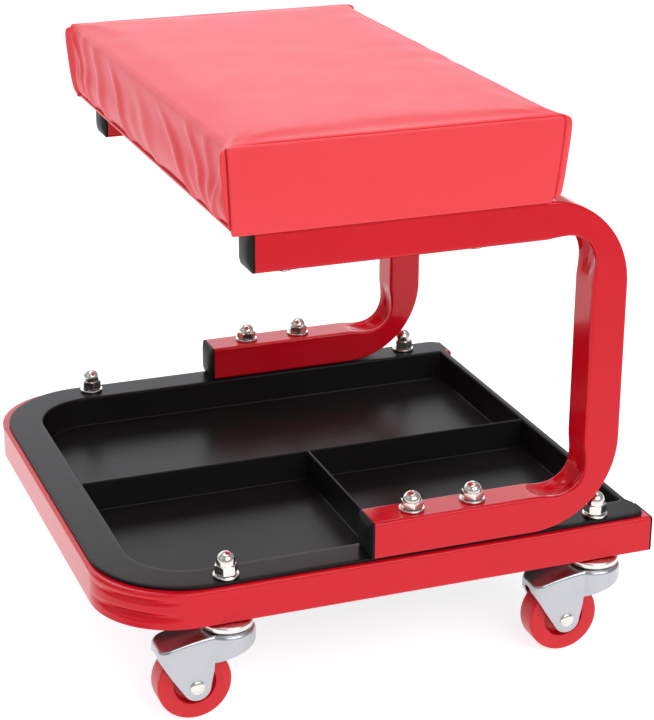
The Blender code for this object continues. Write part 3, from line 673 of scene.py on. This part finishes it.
def yoke_rims(count=60):
    """The yoke's upper bend line and its lower edge, as matching closed rings of points.

    Both run round the pan's front, along one side plate, round the tail and back."""
    open_angle = math.pi - math.asin(YOKE_HALF / PAN_RADIUS)
    turn = np.linspace(-open_angle, open_angle, 2 * count)
    pan = PAN_RADIUS * np.stack([np.cos(turn), np.sin(turn)], -1)
    neck = pan[-1, 0]
    tail_end, tail_corner = -47.5 * MM, 7.0 * MM
    corner = quarter(14)
    tail_side = along_polyline([(neck, YOKE_HALF), (tail_end + tail_corner, YOKE_HALF)], count)
    bend = np.stack([tail_end + tail_corner * (1 - corner[:, 0]),
                     YOKE_HALF - tail_corner * corner[:, 1]], -1)[1:]
    end = along_polyline([(tail_end, YOKE_HALF - tail_corner), (tail_end, 0)], 14)[1:]
    half = np.vstack([tail_side[1:], bend, end])
    rim = np.vstack([pan, half, half[::-1][1:] * (1, -1)])

    # the lower edge: a rising line round the pan, down the plate's front edge to a boss
    # round the axle, up a slope to the tail, and a low arch across it
    pan_low = (-14.5 - 8.0 * (np.abs(turn) / math.radians(110)) ** 1.5) * MM
    boss_turn, boss_radius = np.radians(np.linspace(0, -149.5, 30)), 9 * MM
    boss = np.stack([-CASTER_TRAIL + boss_radius * np.cos(boss_turn),
                     AXLE_DROP + boss_radius * np.sin(boss_turn)], -1)
    tail_low, slope = -19.6 * MM, 1.694
    plate_front = [(neck, pan_low[-1]), (neck - 0.4 * MM, -30 * MM)]
    foot = (tail_end + tail_corner, tail_low - slope * tail_corner)
    edge = along_polyline(np.vstack([plate_front, boss, [foot]]), count)
    round_tail = tail_low - slope * (bend[:, 0] - tail_end)
    arch = tail_low + 2.4 * MM * np.sin(np.linspace(0, math.pi / 2, len(end)))
    low_x = np.hstack([edge[1:, 0], half[count - 1:, 0]])
    low_z = np.hstack([edge[1:, 1], round_tail, arch])
    side = np.stack([low_x, half[:, 1], low_z], -1)
    return rim, np.vstack([at_level(pan, pan_low), side, side[::-1][1:] * (1, -1, 1)])


def yoke_shell():
    """The pressed sheet's outer face: from the stem's hole out over the top, down round
    a bend of 3 mm, and down to the lower edge."""
    rim, lower = yoke_rims()
    slope = np.clip((-rim[:, 0] - 6 * MM) / (41 * MM), 0, 1.1)
    crown = PAN_TOP - 6.6 * MM * slope ** 1.5
    reach = np.linalg.norm(rim, axis=1)[:, None]
    hole, bend = 4.6 * MM, 3.0 * MM
    rows = []
    for share in np.linspace(0, 1, 5):
        flat = rim / reach * (hole * (1 - share) + (reach - bend) * share)
        rows.append(at_level(flat, PAN_TOP + (crown - PAN_TOP) * share ** 2))
    for s, c in quarter(9)[1:]:
        rows.append(at_level(rim * ((reach - bend * (1 - s)) / reach), crown - bend * c))
    start = rows[-1]
    rows += [start * (1 - share) + lower * share for share in np.linspace(0, 1, 12)[1:]]
    return np.array(rows)


def make_yoke(corner, material):
    """The yoke's face, given the sheet's thickness inwards and softened edges."""
    rings = yoke_shell() + joint_place(f"swivel_{corner}")
    name = f"caster_yoke_{corner}"
    shell = (rings.reshape(-1, 3), quads(len(rings), rings.shape[1], close_columns=True))
    piece = make_piece(f"{name}_pressing", [shell], material, [name],
                       f"fork_{corner}", sharp=42.0)
    face_up(piece.data)
    wall = piece.modifiers.new("sheet", "SOLIDIFY")
    wall.thickness = YOKE_SHEET
    wall.offset = -1.0
    edge = piece.modifiers.new("edges", "BEVEL")
    edge.width = 0.35 * MM
    edge.segments = 2
    edge.limit_method = "ANGLE"
    edge.angle_limit = math.radians(60)


def face_up(mesh):
    """Turn an open sheet over if the normals of its highest faces point down."""
    centres = np.array([face.center.z for face in mesh.polygons])
    upward = np.array([face.normal.z for face in mesh.polygons])
    if upward[centres > centres.max() - 1 * MM].sum() < 0:
        mesh.flip_normals()


def joint_place(name):
    """A point on a joint's axis, at rest."""
    joint = next(joint for joint in frame["joints"] if joint["name"] == name)
    return np.array(joint["pos_m"])


def make_caster(corner, materials):
    """One caster: yoke, race, rivet and wheel about the swivel's and the axle's axes."""
    make_yoke(corner, materials["sheet"])
    swivel, axle = joint_place(f"swivel_{corner}"), joint_place(f"roll_{corner}")
    node = f"caster_race_{corner}"
    low, high = box(node)
    turned = [(4.6, 0), (15.2, 0), (16.3, 0.06), (16.85, 0.16), (17, 0.28), (17, 0.66),
              (16.8, 0.76), (16.2, 0.84), (14.6, 0.92), (12.6, 1), (4.6, 1), (4.6, 0)]
    profile = np.array(turned) * (MM, high[2] - low[2]) + (0, low[2] - swivel[2])
    make_piece(f"{node}_pressing", [turned_shell(profile, swivel)], materials["zinc"],
               [node])
    make_wheel(corner, axle, materials["wheel"])
    reach, radius, head = YOKE_HALF + 0.1 * MM, 4.8 * MM, 1.5 * MM
    dome = [(radius * math.sin(a), reach + 0.25 * MM + head * math.cos(a))
            for a in np.linspace(0.03, math.pi / 2, 9)]
    rivet = dome + [(radius, reach), (3 * MM, reach)]
    profile = rivet + [(r, -h) for r, h in rivet[::-1]]
    node = f"caster_axle_{corner}"
    make_piece(f"{node}_rivet", [turned_shell(profile, axle, "y")], materials["zinc"],
               [node], f"fork_{corner}")


def make_wheel(corner, axle, material):
    """A turned wheel: rounded tread, flat side, a dished ring and a raised hub."""
    node = f"caster_wheel_{corner}"
    low, high = box(node)
    radius, hub = (high[2] - low[2]) / 2, (high[1] - low[1]) / 2
    half, edge, fillet, crown = 8.5 * MM, 1.8 * MM, 0.8 * MM, 0.15 * MM
    curve = quarter(8)
    upper = [(radius - crown, 0), (radius - crown, (half - edge) * 0.5)]
    upper += [(radius - edge * c - crown * (1 - c), half - edge * (1 - s)) for s, c in curve]
    upper += [(14.6 * MM, half)]
    upper += [(14.4 * MM - fillet * s, half - fillet * c) for s, c in curve[1:]]
    upper += [(r * MM, half - sunk * MM) for r, sunk in ((13.3, 4.2), (12.6, 5.0), (9.0, 5.0),
                                                         (8.0, 4.4))]
    upper += [(7.5 * MM, hub - 0.5 * MM), (7.1 * MM, hub), (3.4 * MM, hub)]
    profile = upper + [(r, -h) for r, h in upper[::-1]][:-1] + upper[:1]
    make_piece(f"{node}_moulding", [turned_shell(profile, axle, "y", 112)], material,
               [node], f"wheel_{corner}", sharp=30.0)


# ---------------------------------------------------------------- seat

PANEL_TOP = 2.9 * MM                      # how far the side panels stop below the seat's top


def front_lean(down):
    """How far the seat's front end is drawn in, for a share of the way down to its foot."""
    return 5.4 * MM * down ** 3


def rear_lean(down):
    """The same for the rear end, which is drawn in further."""
    return 6.0 * MM * down ** 1.8


def panel_front(down):
    """Where the side panels' front edge is, for a share of the way down."""
    return SEAT_LOW[0] + (2.8 + 2.6 * down) * MM


def panel_rear(down):
    """Where their rear edge is."""
    return SEAT_HIGH[0] - (3.7 + 5.6 * down ** 1.2) * MM


SEAT_FOOT_LOW = SEAT_LOW + np.array([6.5, 1.6, 0.0]) * MM
SEAT_FOOT_HIGH = SEAT_HIGH - np.array([8.0, 1.6, 0.0]) * MM

# folds on the seat's front: their place across it at the top and at the foot, their width
# and height in millimetres, and how far down each one starts
FRONT_FOLDS = [
    (172, 166, 5, 1.0, 0.0), (151, 136, 7, 1.8, -0.1), (122, 96, 10, 2.3, -0.05),
    (86, 38, 8, 2.1, 0.05), (60, 8, 9, 0.9, 0.35), (28, -26, 13, 1.5, 0.1),
    (-18, -108, 9, 2.4, 0.1), (-58, -122, 7, 0.7, 0.4), (-92, -140, 7, 2.1, 0.0),
    (-136, -150, 7, 2.0, -0.05)]
CLOTH = {"quality": 6, "mass": 0.3, "tension_stiffness": 40, "compression_stiffness": 25,
         "shear_stiffness": 12, "bending_stiffness": 1.5, "use_pressure": True,
         "uniform_pressure_force": 4.0, "vertex_group_mass": "held"}
CLOTH_FRAMES = 20


def padded_box(low, high, radius, spacing):
    """A box's six faces as grids of points, closer together near the edges, each point drawn
    onto a rounding: the nearest point of the box less the radius, plus the radius along
    the way to it."""
    counts = np.maximum(np.round((high - low) / spacing).astype(int), 2)
    share = [np.linspace(0, 1, count + 1) for count in counts]
    lines = [low[i] + (high[i] - low[i]) * (t - 0.55 * np.sin(math.tau * t) / math.tau)
             for i, t in enumerate(share)]
    shells = []
    for axis in range(3):
        first, second = [i for i in range(3) if i != axis]
        grid_a, grid_b = np.meshgrid(lines[first], lines[second], indexing="ij")
        for level in (low[axis], high[axis]):
            points = np.empty(grid_a.shape + (3,))
            points[..., first], points[..., second], points[..., axis] = grid_a, grid_b, level
            core = np.clip(points, low + radius, high - radius)
            away = points - core
            points = core + radius * away / np.linalg.norm(away, axis=-1, keepdims=True)
            shells.append((points.reshape(-1, 3), quads(*grid_a.shape)))
    return shells


def vertex_values(mesh, name):
    """The positions, "co", or the normals, "normal", of a mesh's vertices."""
    values = np.empty(len(mesh.vertices) * 3, np.float32)
    mesh.vertices.foreach_get(name, values)
    return values.reshape(-1, 3).astype(float)


def set_points(mesh, points):
    mesh.vertices.foreach_set("co", points.astype(np.float32).ravel())
    mesh.update()


def swell(piece, cap):
    """Blow the pad up a little as cloth over its foam, with its foot held.  The moves are
    capped, and they fade out towards the long sides, which the side panels hold flat."""
    rest = vertex_values(piece.data, "co")
    held = piece.vertex_groups.new(name="held")
    foot = rest[:, 2].min() + 4 * MM
    held.add(np.nonzero(rest[:, 2] < foot)[0].tolist(), 1.0, "REPLACE")
    cloth = piece.modifiers.new("cloth", "CLOTH")
    for setting, value in CLOTH.items():
        setattr(cloth.settings, setting, value)
    cloth.settings.effector_weights.gravity = 0.0
    cloth.point_cache.frame_start, cloth.point_cache.frame_end = 1, CLOTH_FRAMES
    for moment in range(1, CLOTH_FRAMES + 1):
        bpy.context.scene.frame_set(moment)
    graph = bpy.context.evaluated_depsgraph_get()
    move = vertex_values(piece.evaluated_get(graph).data, "co") - rest
    size = np.linalg.norm(move, axis=1, keepdims=True)
    past = rest[:, 1].max() - np.abs(rest[:, 1])
    move *= np.minimum(1.0, cap / np.maximum(size, 1e-9)) * step(past, 0, 16 * MM)[:, None]
    piece.modifiers.remove(cloth)
    bpy.context.scene.frame_set(1)
    set_points(piece.data, rest + move)


def step(value, low, high):
    """0 below low, 1 above high, smooth between."""
    share = np.clip((value - low) / (high - low), 0, 1)
    return share * share * (3 - 2 * share)


def fold_field(across, down, folds):
    """Height of a fan of soft folds.  A fold is (top, foot, width, height, start): a ridge
    whose middle moves from its top place to its foot place as down goes from 0 to 1."""
    height = np.zeros_like(across)
    for top, foot, width, rise, start in folds:
        middle = top + (foot - top) * down + 0.1 * (foot - top) * np.sin(math.pi * down)
        ridge = np.exp(-((across - middle) / (width * (1.15 - 0.4 * down))) ** 2)
        height += rise * ridge * step(down, start, start + 0.35)
    return height


def random_folds(count, lean, seed):
    """Folds spread along an end of the seat, leaning one way, each a little different."""
    rng = np.random.default_rng(seed)
    half = SEAT_HIGH[1]
    top = np.linspace(-half * 0.92, half * 0.95, count) + rng.uniform(-9, 9, count) * MM
    foot = np.clip(top + lean + rng.uniform(-9, 7, count) * MM, -half * 0.86, half * 0.9)
    width = rng.uniform(4.0, 8.5, count) * MM
    rise = rng.uniform(0.7, 1.9, count) * MM
    start = rng.uniform(-0.1, 0.35, count)
    return list(zip(top, foot, width, rise, start))


def square_corners(points, low, high, radius, share):
    """Draw the four upright edges out towards a square: a point's way out from its rounding's
    centre, divided by the power share of its larger part."""
    core = np.clip(points[:, :2], low[:2] + radius, high[:2] - radius)
    away = points[:, :2] - core
    length = np.linalg.norm(away, axis=1)
    larger = np.abs(away).max(axis=1) / np.maximum(length, 1e-9)
    at_corner = (length > 1e-6) & (np.abs(away).min(axis=1) > 1e-6)
    larger = np.where(at_corner, larger, 1.0)
    points[:, :2] = core + away * (larger ** -share)[:, None]


def soften_front(points, low, high):
    """Round the front top edge: what is outside a quarter circle in the side view is drawn
    onto it.  The circle is smaller near the two corners."""
    past = high[1] - np.abs(points[:, 1])
    radius = (7 + 8 * step(past, 4 * MM, 24 * MM)) * MM
    across = np.maximum(low[0] + radius - points[:, 0], 0)
    above = np.maximum(points[:, 2] - (high[2] - radius), 0)
    reach = np.hypot(across, above)
    outside = (across > 0) & (above > 0)
    pull = np.where(outside, np.minimum(1, radius / np.maximum(reach, 1e-9)), 1)
    points[:, 0] += across * (1 - pull)
    points[:, 2] -= above * (1 - pull)


def end_folds(y, down, past, front, rear):
    """How far the folds move the front and the rear end along x: gathers, and at each corner
    a wedge of double cloth that widens from the top to the foot, with a ridge along its edge
    and a second fold in it.  past is how far a point is inside the long sides."""
    folds = np.array(FRONT_FOLDS) * (MM, MM, MM, MM, 1)
    sink = step(down, 0.1, 0.6)
    front_gather = fold_field(y, down, folds) - 0.8 * MM * sink
    rear_gather = fold_field(y, down, random_folds(15, 12 * MM, 8)) - 0.6 * MM * sink
    reach = past / (33 * MM) - 1.15 * np.sqrt(np.clip(down - 0.04, 0, 1)) + 0.08
    wedge = step(-reach, -0.05, 0.07)
    ridge = np.exp(-(reach / 0.08) ** 2) * step(down, 0.05, 0.2)
    second = np.exp(-((past / (9 * MM) - 0.9 - 2.0 * down) / 0.35) ** 2) * (1 - down)
    second *= step(down, 0.02, 0.15)
    outer = step(7 * MM - past, 0, 6 * MM)
    lift = (0.4 * wedge + 1.1 * ridge + 0.6 * second + 2.0 * outer) * MM
    return rear * (0.6 * rear_gather + 0.3 * lift) - front * (front_gather + lift)


def corner_reach(points, x, past, low, high):
    """How far the four upright corners move along x to come out to the seat's own length."""
    ends = points[past < 2 * MM, 0]
    rear = SEAT_HIGH[0] - 0.7 * MM - ends.max()
    front = SEAT_LOW[0] + 2.5 * MM - ends.min()
    span, blend = 22 * MM, 18 * MM
    return step(9 * MM - past, 0, 5 * MM) * (rear * step(x - (high[0] - span), 0, blend)
                                             + front * step(low[0] + span - x, 0, blend))


def top_moves(x, y, down, upward, low, high):
    """How far the top moves along z: it falls to both ends, with waves that pull from the
    rear end and from the front end's left corner, and a faint ripple all over."""
    near_front = np.clip(1 - (x - low[0]) / (30 * MM), 0, 1)
    near_rear = np.clip(1 - (high[0] - x) / (14 * MM), 0, 1)
    fall = (1 - step(down, 0, 0.45)) * (2.0 * near_front ** 1.6 + 1.2 * near_rear ** 2.2)
    wave = np.sin(y / (8.5 * MM) + 1.7 * np.sin(y / (31 * MM)) + x / (60 * MM))
    rear_pull = step(x, 0.03, 0.09) * (0.5 + 0.5 * np.sin(y / (57 * MM) + 1.0))
    front_pull = step(-x, 0.03, 0.08) * step(-y, 0.10, 0.17) * 0.7
    ripple = np.sin(y / (13 * MM) + 2.1 * np.sin(x / (47 * MM)))
    return (upward * (0.22 * wave * (rear_pull + front_pull) + 0.08 * ripple) - fall) * MM


def dress_sides(points, x, y, down, low, high):
    """Shape the long sides: proud strips at both ends, drawn in under the side panels
    between them, with a groove under the top edge."""
    inner = SEAT_HIGH[1] - 5.5 * MM
    strip_out, panel_out, groove_in, under_in, pad_height = 4.7, 4.5, 2.0, 1.4, 57
    from_front = (panel_front(down) - points[:, 0]) / MM
    from_rear = (points[:, 0] - panel_rear(down)) / MM
    strip = np.maximum(step(from_front, 0.1, 1.3), step(from_rear, 0.1, 1.1))
    at_end = np.minimum(x - low[0], high[0] - x) < 9 * MM
    reach = np.where(strip > 0.02, np.abs(y[at_end]).max(), high[1])
    outside = np.clip((np.abs(y) - inner) / (reach - inner), 0, 1)
    depth = down * pad_height
    recessed = panel_out - groove_in * step(depth, 0.7, 1.5) - under_in * step(depth, 2.6, 3.6)
    width = strip * strip_out + (1 - strip) * recessed - 0.8 * (1 - step(depth, 0.0, 0.9))
    moved = inner + outside * width * MM
    points[:, 1] = np.where(outside > 0, np.sign(y) * moved, points[:, 1])


def dress_cushion(points, normals):
    """Dress the blown pad: squarer corners, a soft front top edge, folded ends that lean in
    to the foot, a top with faint pull lines, and the long sides' strips."""
    low, high = points.min(0), points.max(0)
    square_corners(points, low, high, 4.5 * MM, 0.8)
    soften_front(points, low, high)
    x, y, z = points.T.copy()
    share = np.clip((x - low[0]) / (high[0] - low[0]), 0, 1)
    down = np.clip((high[2] - z) / (high[2] - low[2]), 0, 1)
    past = SEAT_HIGH[1] - np.abs(y)
    front, rear = step(-normals[:, 0], 0.35, 0.9), step(normals[:, 0], 0.35, 0.9)
    points[:, 0] += end_folds(y, down, past, front, rear)
    points[:, 0] += corner_reach(points, x, past, low, high)
    points[:, 0] += (1 - share) * front_lean(down) - share * rear_lean(down)
    points[:, 2] += top_moves(x, y, down, step(normals[:, 2], 0.2, 0.9), low, high)
    dress_sides(points, x, y, down, low, high)
    return points


def make_cushion(material):
    """The seat's cover over its pad, blown up as cloth and then dressed with its folds."""
    low = SEAT_LOW + np.array([2.6, 1.2, 1.0]) * MM
    high = SEAT_HIGH - np.array([1.4, 1.2, 1.6]) * MM
    piece = make_piece("seat_cushion", padded_box(low, high, 4.5 * MM, 5.2 * MM), material,
                       ["seat_cover", "seat_foam"], sharp=180.0)
    blow_up = swell
    blow_up(piece, 1.8 * MM)
    finer = piece.modifiers.new("finer", "SUBSURF")
    finer.levels = finer.render_levels = 2
    graph = bpy.context.evaluated_depsgraph_get()
    fine = bpy.data.meshes.new_from_object(piece.evaluated_get(graph))
    piece.modifiers.remove(finer)
    set_points(fine, dress_cushion(vertex_values(fine, "co"), vertex_values(fine, "normal")))
    fine.shade_smooth()
    piece.data = fine


def flap_shell(sign):
    """The cover's folded panel on a long side of the seat: a loop in the side's plane,
    carried from inside the pad out round a folded edge and in over its slightly bowed face.
    Its two ends lean in with the seat's."""
    low, high = SEAT_LOW, SEAT_HIGH
    loop = Loop(per_side=70, per_corner=12)
    corner_low = np.array([panel_front(0), low[2] + 0.1 * MM])
    corner_high = np.array([panel_rear(0), high[2] - PANEL_TOP])
    roll = quarter(8)
    face = np.array([2.2, 4.0, 7.0, 11.0, 16.0, 21.0, 25.0])
    inset = np.hstack([0.5, 0.1, roll[:, 1], face])
    depth = np.hstack([-4.2, -2.4, -1.3 + 1.3 * roll[:, 0], 0 * face])
    rings = []
    for pull, out in zip(inset * MM, depth * MM):
        radii = np.maximum(np.array([3.0, 2.4, 1.6, 2.2]) * MM - pull * 0.4, 0.3 * MM)
        flat = loop.points(corner_low + pull, corner_high - pull, radii)
        x, z = flat.T
        share_x = (x - corner_low[0]) / (corner_high[0] - corner_low[0])
        share_z = np.clip((z - corner_low[1]) / (corner_high[1] - corner_low[1]), 0, 1)
        down = 1 - share_z
        x = (x + (1 - share_x) * (panel_front(down) - panel_front(0))
             + share_x * (panel_rear(down) - panel_rear(0)))
        arch = np.sin(math.pi * share_z)
        bow = 0.5 * MM * arch * (out > -2 * MM)
        slack = 0.25 * MM * np.sin(share_x * 9 + 1.5 * share_z) * arch
        tuck = 0.7 * MM * down ** 3
        y = sign * (high[1] - 1.1 * MM + out + bow + slack - tuck)
        rings.append(np.stack([x, y, z], -1))
    return ring_shell(rings)


def make_flaps(material):
    for side, sign in SIDES.items():
        make_piece(f"seat_end_flap_{side}", [flap_shell(sign)], material,
                   sharp=60.0)


def make_seat_board(material):
    """The bare board under the seat, with small rounds along its edges."""
    low, high = box("seat_board")
    loop = Loop(per_side=12, per_corner=8)
    inset, edge = 3.0 * MM, 0.6 * MM
    rounds = [(edge * (1 - s), low[2] + edge * c) for s, c in quarter(4)]
    rounds += [(edge * c, high[2] - edge * (1 - s)) for s, c in quarter(4)]
    rings = []
    for pull, level in rounds:
        gap = inset + pull
        rings.append(at_level(loop.points(low[:2] + gap, high[:2] - gap, 4 * MM), level))
    make_piece("seat_board_panel", [ring_shell(rings)], material, ["seat_board"])


def make_hem(material):
    """The cover's turned-in hem: a ring round the board's edge, with a ragged, puckered
    inner border."""
    loop = Loop(per_side=90, per_corner=8)
    lap = np.arange(len(loop.angle)) / len(loop.angle) * math.tau
    ragged = 1.2 * MM * np.sin(lap * 23) + 0.8 * MM * np.sin(lap * 41 + 1)
    pucker = 0.22 * MM * np.sin(lap * 120)
    foot, board = SEAT_LOW[2], box("seat_board")[0][2]
    rings = []
    for reach, level in ((0.6, board + 1 * MM), (0.7, foot + 0.9 * MM), (1.6, foot + 0.45 * MM),
                         (7, foot + 0.4 * MM), (13.5, foot + 0.4 * MM), (14, foot + 0.8 * MM),
                         (13.8, board + 0.2 * MM)):
        inside = np.clip((reach - 2) / 10, 0, 1)
        gap = reach * MM
        flat = loop.points(SEAT_FOOT_LOW[:2] + gap, SEAT_FOOT_HIGH[:2] - gap, 5 * MM)
        flat -= loop.normal * (ragged * inside)[:, None]
        rings.append(at_level(flat, level + pucker * inside * (level < board)))
    make_piece("seat_hem", [ring_shell(rings, caps=False)], material, sharp=50.0)


def make_staples(zinc):
    """Flat wire staples along the hem, about 38 mm apart, their legs in the board."""
    shells = []
    inset, length, wire, spacing, margin = 8.5 * MM, 10 * MM, 0.5 * MM, 38 * MM, 22 * MM
    level = SEAT_LOW[2] + 0.1 * MM
    section = Loop(per_side=1, per_corner=3).points((-wire, -wire * 0.55), (wire, wire * 0.55),
                                                    0.25 * MM)
    along = np.array([-0.5, -0.46, 0.46, 0.5])[:, None] * length
    legs = np.array([0.8, 0.0, 0.0, 0.8])[:, None] * MM
    for axis in (0, 1):
        other = 1 - axis
        spots = np.linspace(SEAT_FOOT_LOW[axis] + margin, SEAT_FOOT_HIGH[axis] - margin,
                            int((SEAT_HIGH - SEAT_LOW)[axis] / spacing))
        for edge in (SEAT_FOOT_LOW[other] + inset, SEAT_FOOT_HIGH[other] - inset):
            for spot in spots:
                rings = np.empty((4, len(section), 3))
                rings[..., axis] = spot + along
                rings[..., other] = edge + section[:, 0]
                rings[..., 2] = level + legs + section[:, 1]
                shells.append(ring_shell(rings))
    make_piece("seat_staples", shells, zinc)


# ---------------------------------------------------------------- studio

def make_camera():
    """The camera, turned to azimuth and elevation about a point on the seat's middle, and
    rolled a little about its own line of sight."""
    azimuth, elevation, roll = np.radians((-20.7646, 20.98, 0.2256)).tolist()
    aim, distance = Vector((0.0205, 0.0, 0.1595)), 1.4454
    turned = (Matrix.Rotation(azimuth, 3, "Z")
              @ Matrix.Rotation(math.pi / 2 - elevation, 3, "X")
              @ Matrix.Rotation(roll, 3, "Z"))
    lens = bpy.data.cameras.new("camera")
    lens.lens = 102.876
    lens.sensor_width = 36.0
    lens.sensor_fit = "AUTO"
    lens.clip_start, lens.clip_end = 0.05, 30.0
    camera = add_object("camera", lens)
    camera.location = aim + distance * turned.col[2]
    camera.rotation_euler = turned.to_euler()
    bpy.context.scene.camera = camera


def make_light(name, place, aim, size, radiance, colour=(1, 1, 1)):
    """A soft box of an even radiance: its power is that times pi times its area."""
    lamp = bpy.data.lights.new(name, "AREA")
    lamp.shape = "RECTANGLE"
    lamp.size, lamp.size_y = size
    lamp.energy = radiance * math.pi * size[0] * size[1]
    lamp.color = colour
    light = add_object(name, lamp)
    light.location = place
    light.rotation_euler = (Vector(place) - Vector(aim)).to_track_quat("Z", "Y").to_euler()
    light.visible_camera = False


def make_studio():
    """A pale floor that glows softly, more so behind the seat's front end, where a painted pool
    of light fills in the seat's shadow on the floor, in an even room with soft boxes overhead,
    in front, on the left and behind."""
    floor = Finish("pale_floor", Roughness=0.7, Emission_Strength=1.0)
    reach = floor.node("ShaderNodeVectorMath", {"operation": "LENGTH"},
                       {0: floor.mapped(Location=(0.31, -0.06, 0.0))})
    # painted light: a patch of brighter glowing floor near the seat's front end fills in the
    # seat's shadow and brightens the base's front face by its reflection
    painted_glow = 1 - floor.value(reach, "Value").band(0.03, 0.34)
    split = floor.node("ShaderNodeSeparateXYZ", {}, {0: floor.place})
    in_front = floor.value(split, "Y").band(-1.1, -0.35)
    plain = floor.mix(in_front, (0.12, 0.12, 0.12), (0.78, 0.78, 0.79))
    floor.set(floor.shader, {
        "Base Color": floor.mix(floor.noise(3.0, 2.0), (0.55, 0.55, 0.55), (0.58, 0.58, 0.58)),
        "Emission Color": floor.mix(painted_glow, plain, (0.88, 0.88, 0.91))})
    lines = 25
    grid_x, grid_y = (np.indices((lines, lines)) - lines // 2) * 0.5
    points = np.stack([grid_x, grid_y, 0 * grid_x], -1).reshape(-1, 3)
    mesh = raw_mesh("floor", [(points, quads(lines, lines))])
    face_up(mesh)
    mesh.materials.append(floor.material)
    ground = add_object("floor", mesh)
    world = bpy.data.worlds.new("room")
    bpy.context.scene.world = world
    world.use_nodes = True
    background = world.node_tree.nodes["Background"]
    background.inputs["Color"].default_value = (1, 1, 1, 1)
    background.inputs["Strength"].default_value = 0.40
    make_light("overhead", (0.1, 0.1, 1.7), (0, 0, 0.2), (1.6, 1.6), 1.3)
    make_light("left", (-1.9, -0.3, 1.4), (0, 0, 0.3), (1.4, 1.0), 0.35)
    make_light("front", (0.4, -1.9, 1.4), (0, 0, 0.2), (2.0, 1.0), 3.6)
    make_light("behind", (-0.2, 2.8, 1.2), (0, 0, 0.2), (4.4, 1.7), 1.35, (0.95, 0.95, 1.0))
    bpy.context.scene.view_settings.view_transform = "Standard"


# ---------------------------------------------------------------- the whole seat

make_camera()
make_studio()
paint, vinyl, wheel_red = red_powder_coat(), red_vinyl(), red_wheel()
tray_black, wood = black_tray_plastic(), plywood()
plug_black = clouded("black_plug_plastic", (90.0, 3.0), (0.006, 0.006, 0.006),
                     (0.011, 0.011, 0.011), (0.34, 0.16), (900.0, 2.0), (0.18, 0.12 * MM),
                     IOR=1.45, Specular_IOR_Level=0.14)
# zinc plate: bright with a trace of yellow on turned steel, cooler and duller on sheet
zinc = clouded("bright_zinc", (260.0, 4.0), (0.66, 0.65, 0.61), (0.82, 0.81, 0.77),
               (0.12, 0.14), (800.0, 3.0), (0.10, 0.1 * MM), Metallic=1.0)
zinc_sheet = clouded("satin_zinc_sheet", (75.0, 4.0), (0.44, 0.46, 0.49), (0.52, 0.54, 0.57),
                     (0.22, 0.16), (900.0, 3.0), (0.08, 0.1 * MM), Metallic=1.0)
for node_name, node_object in frame["nodes"].items():
    node_object.data.materials.clear()
    node_object.data.materials.append(zinc if "stem" in node_name else paint)
make_base(paint)
for side_name in SIDES:
    make_seat_frame(side_name, paint)
make_plugs(plug_black)
make_tray(tray_black)
make_fasteners(zinc)
for corner_name in CORNERS:
    make_caster(corner_name, {"zinc": zinc, "sheet": zinc_sheet, "wheel": wheel_red})
make_cushion(vinyl)
make_flaps(vinyl)
make_seat_board(wood)
make_hem(vinyl)
make_staples(zinc)
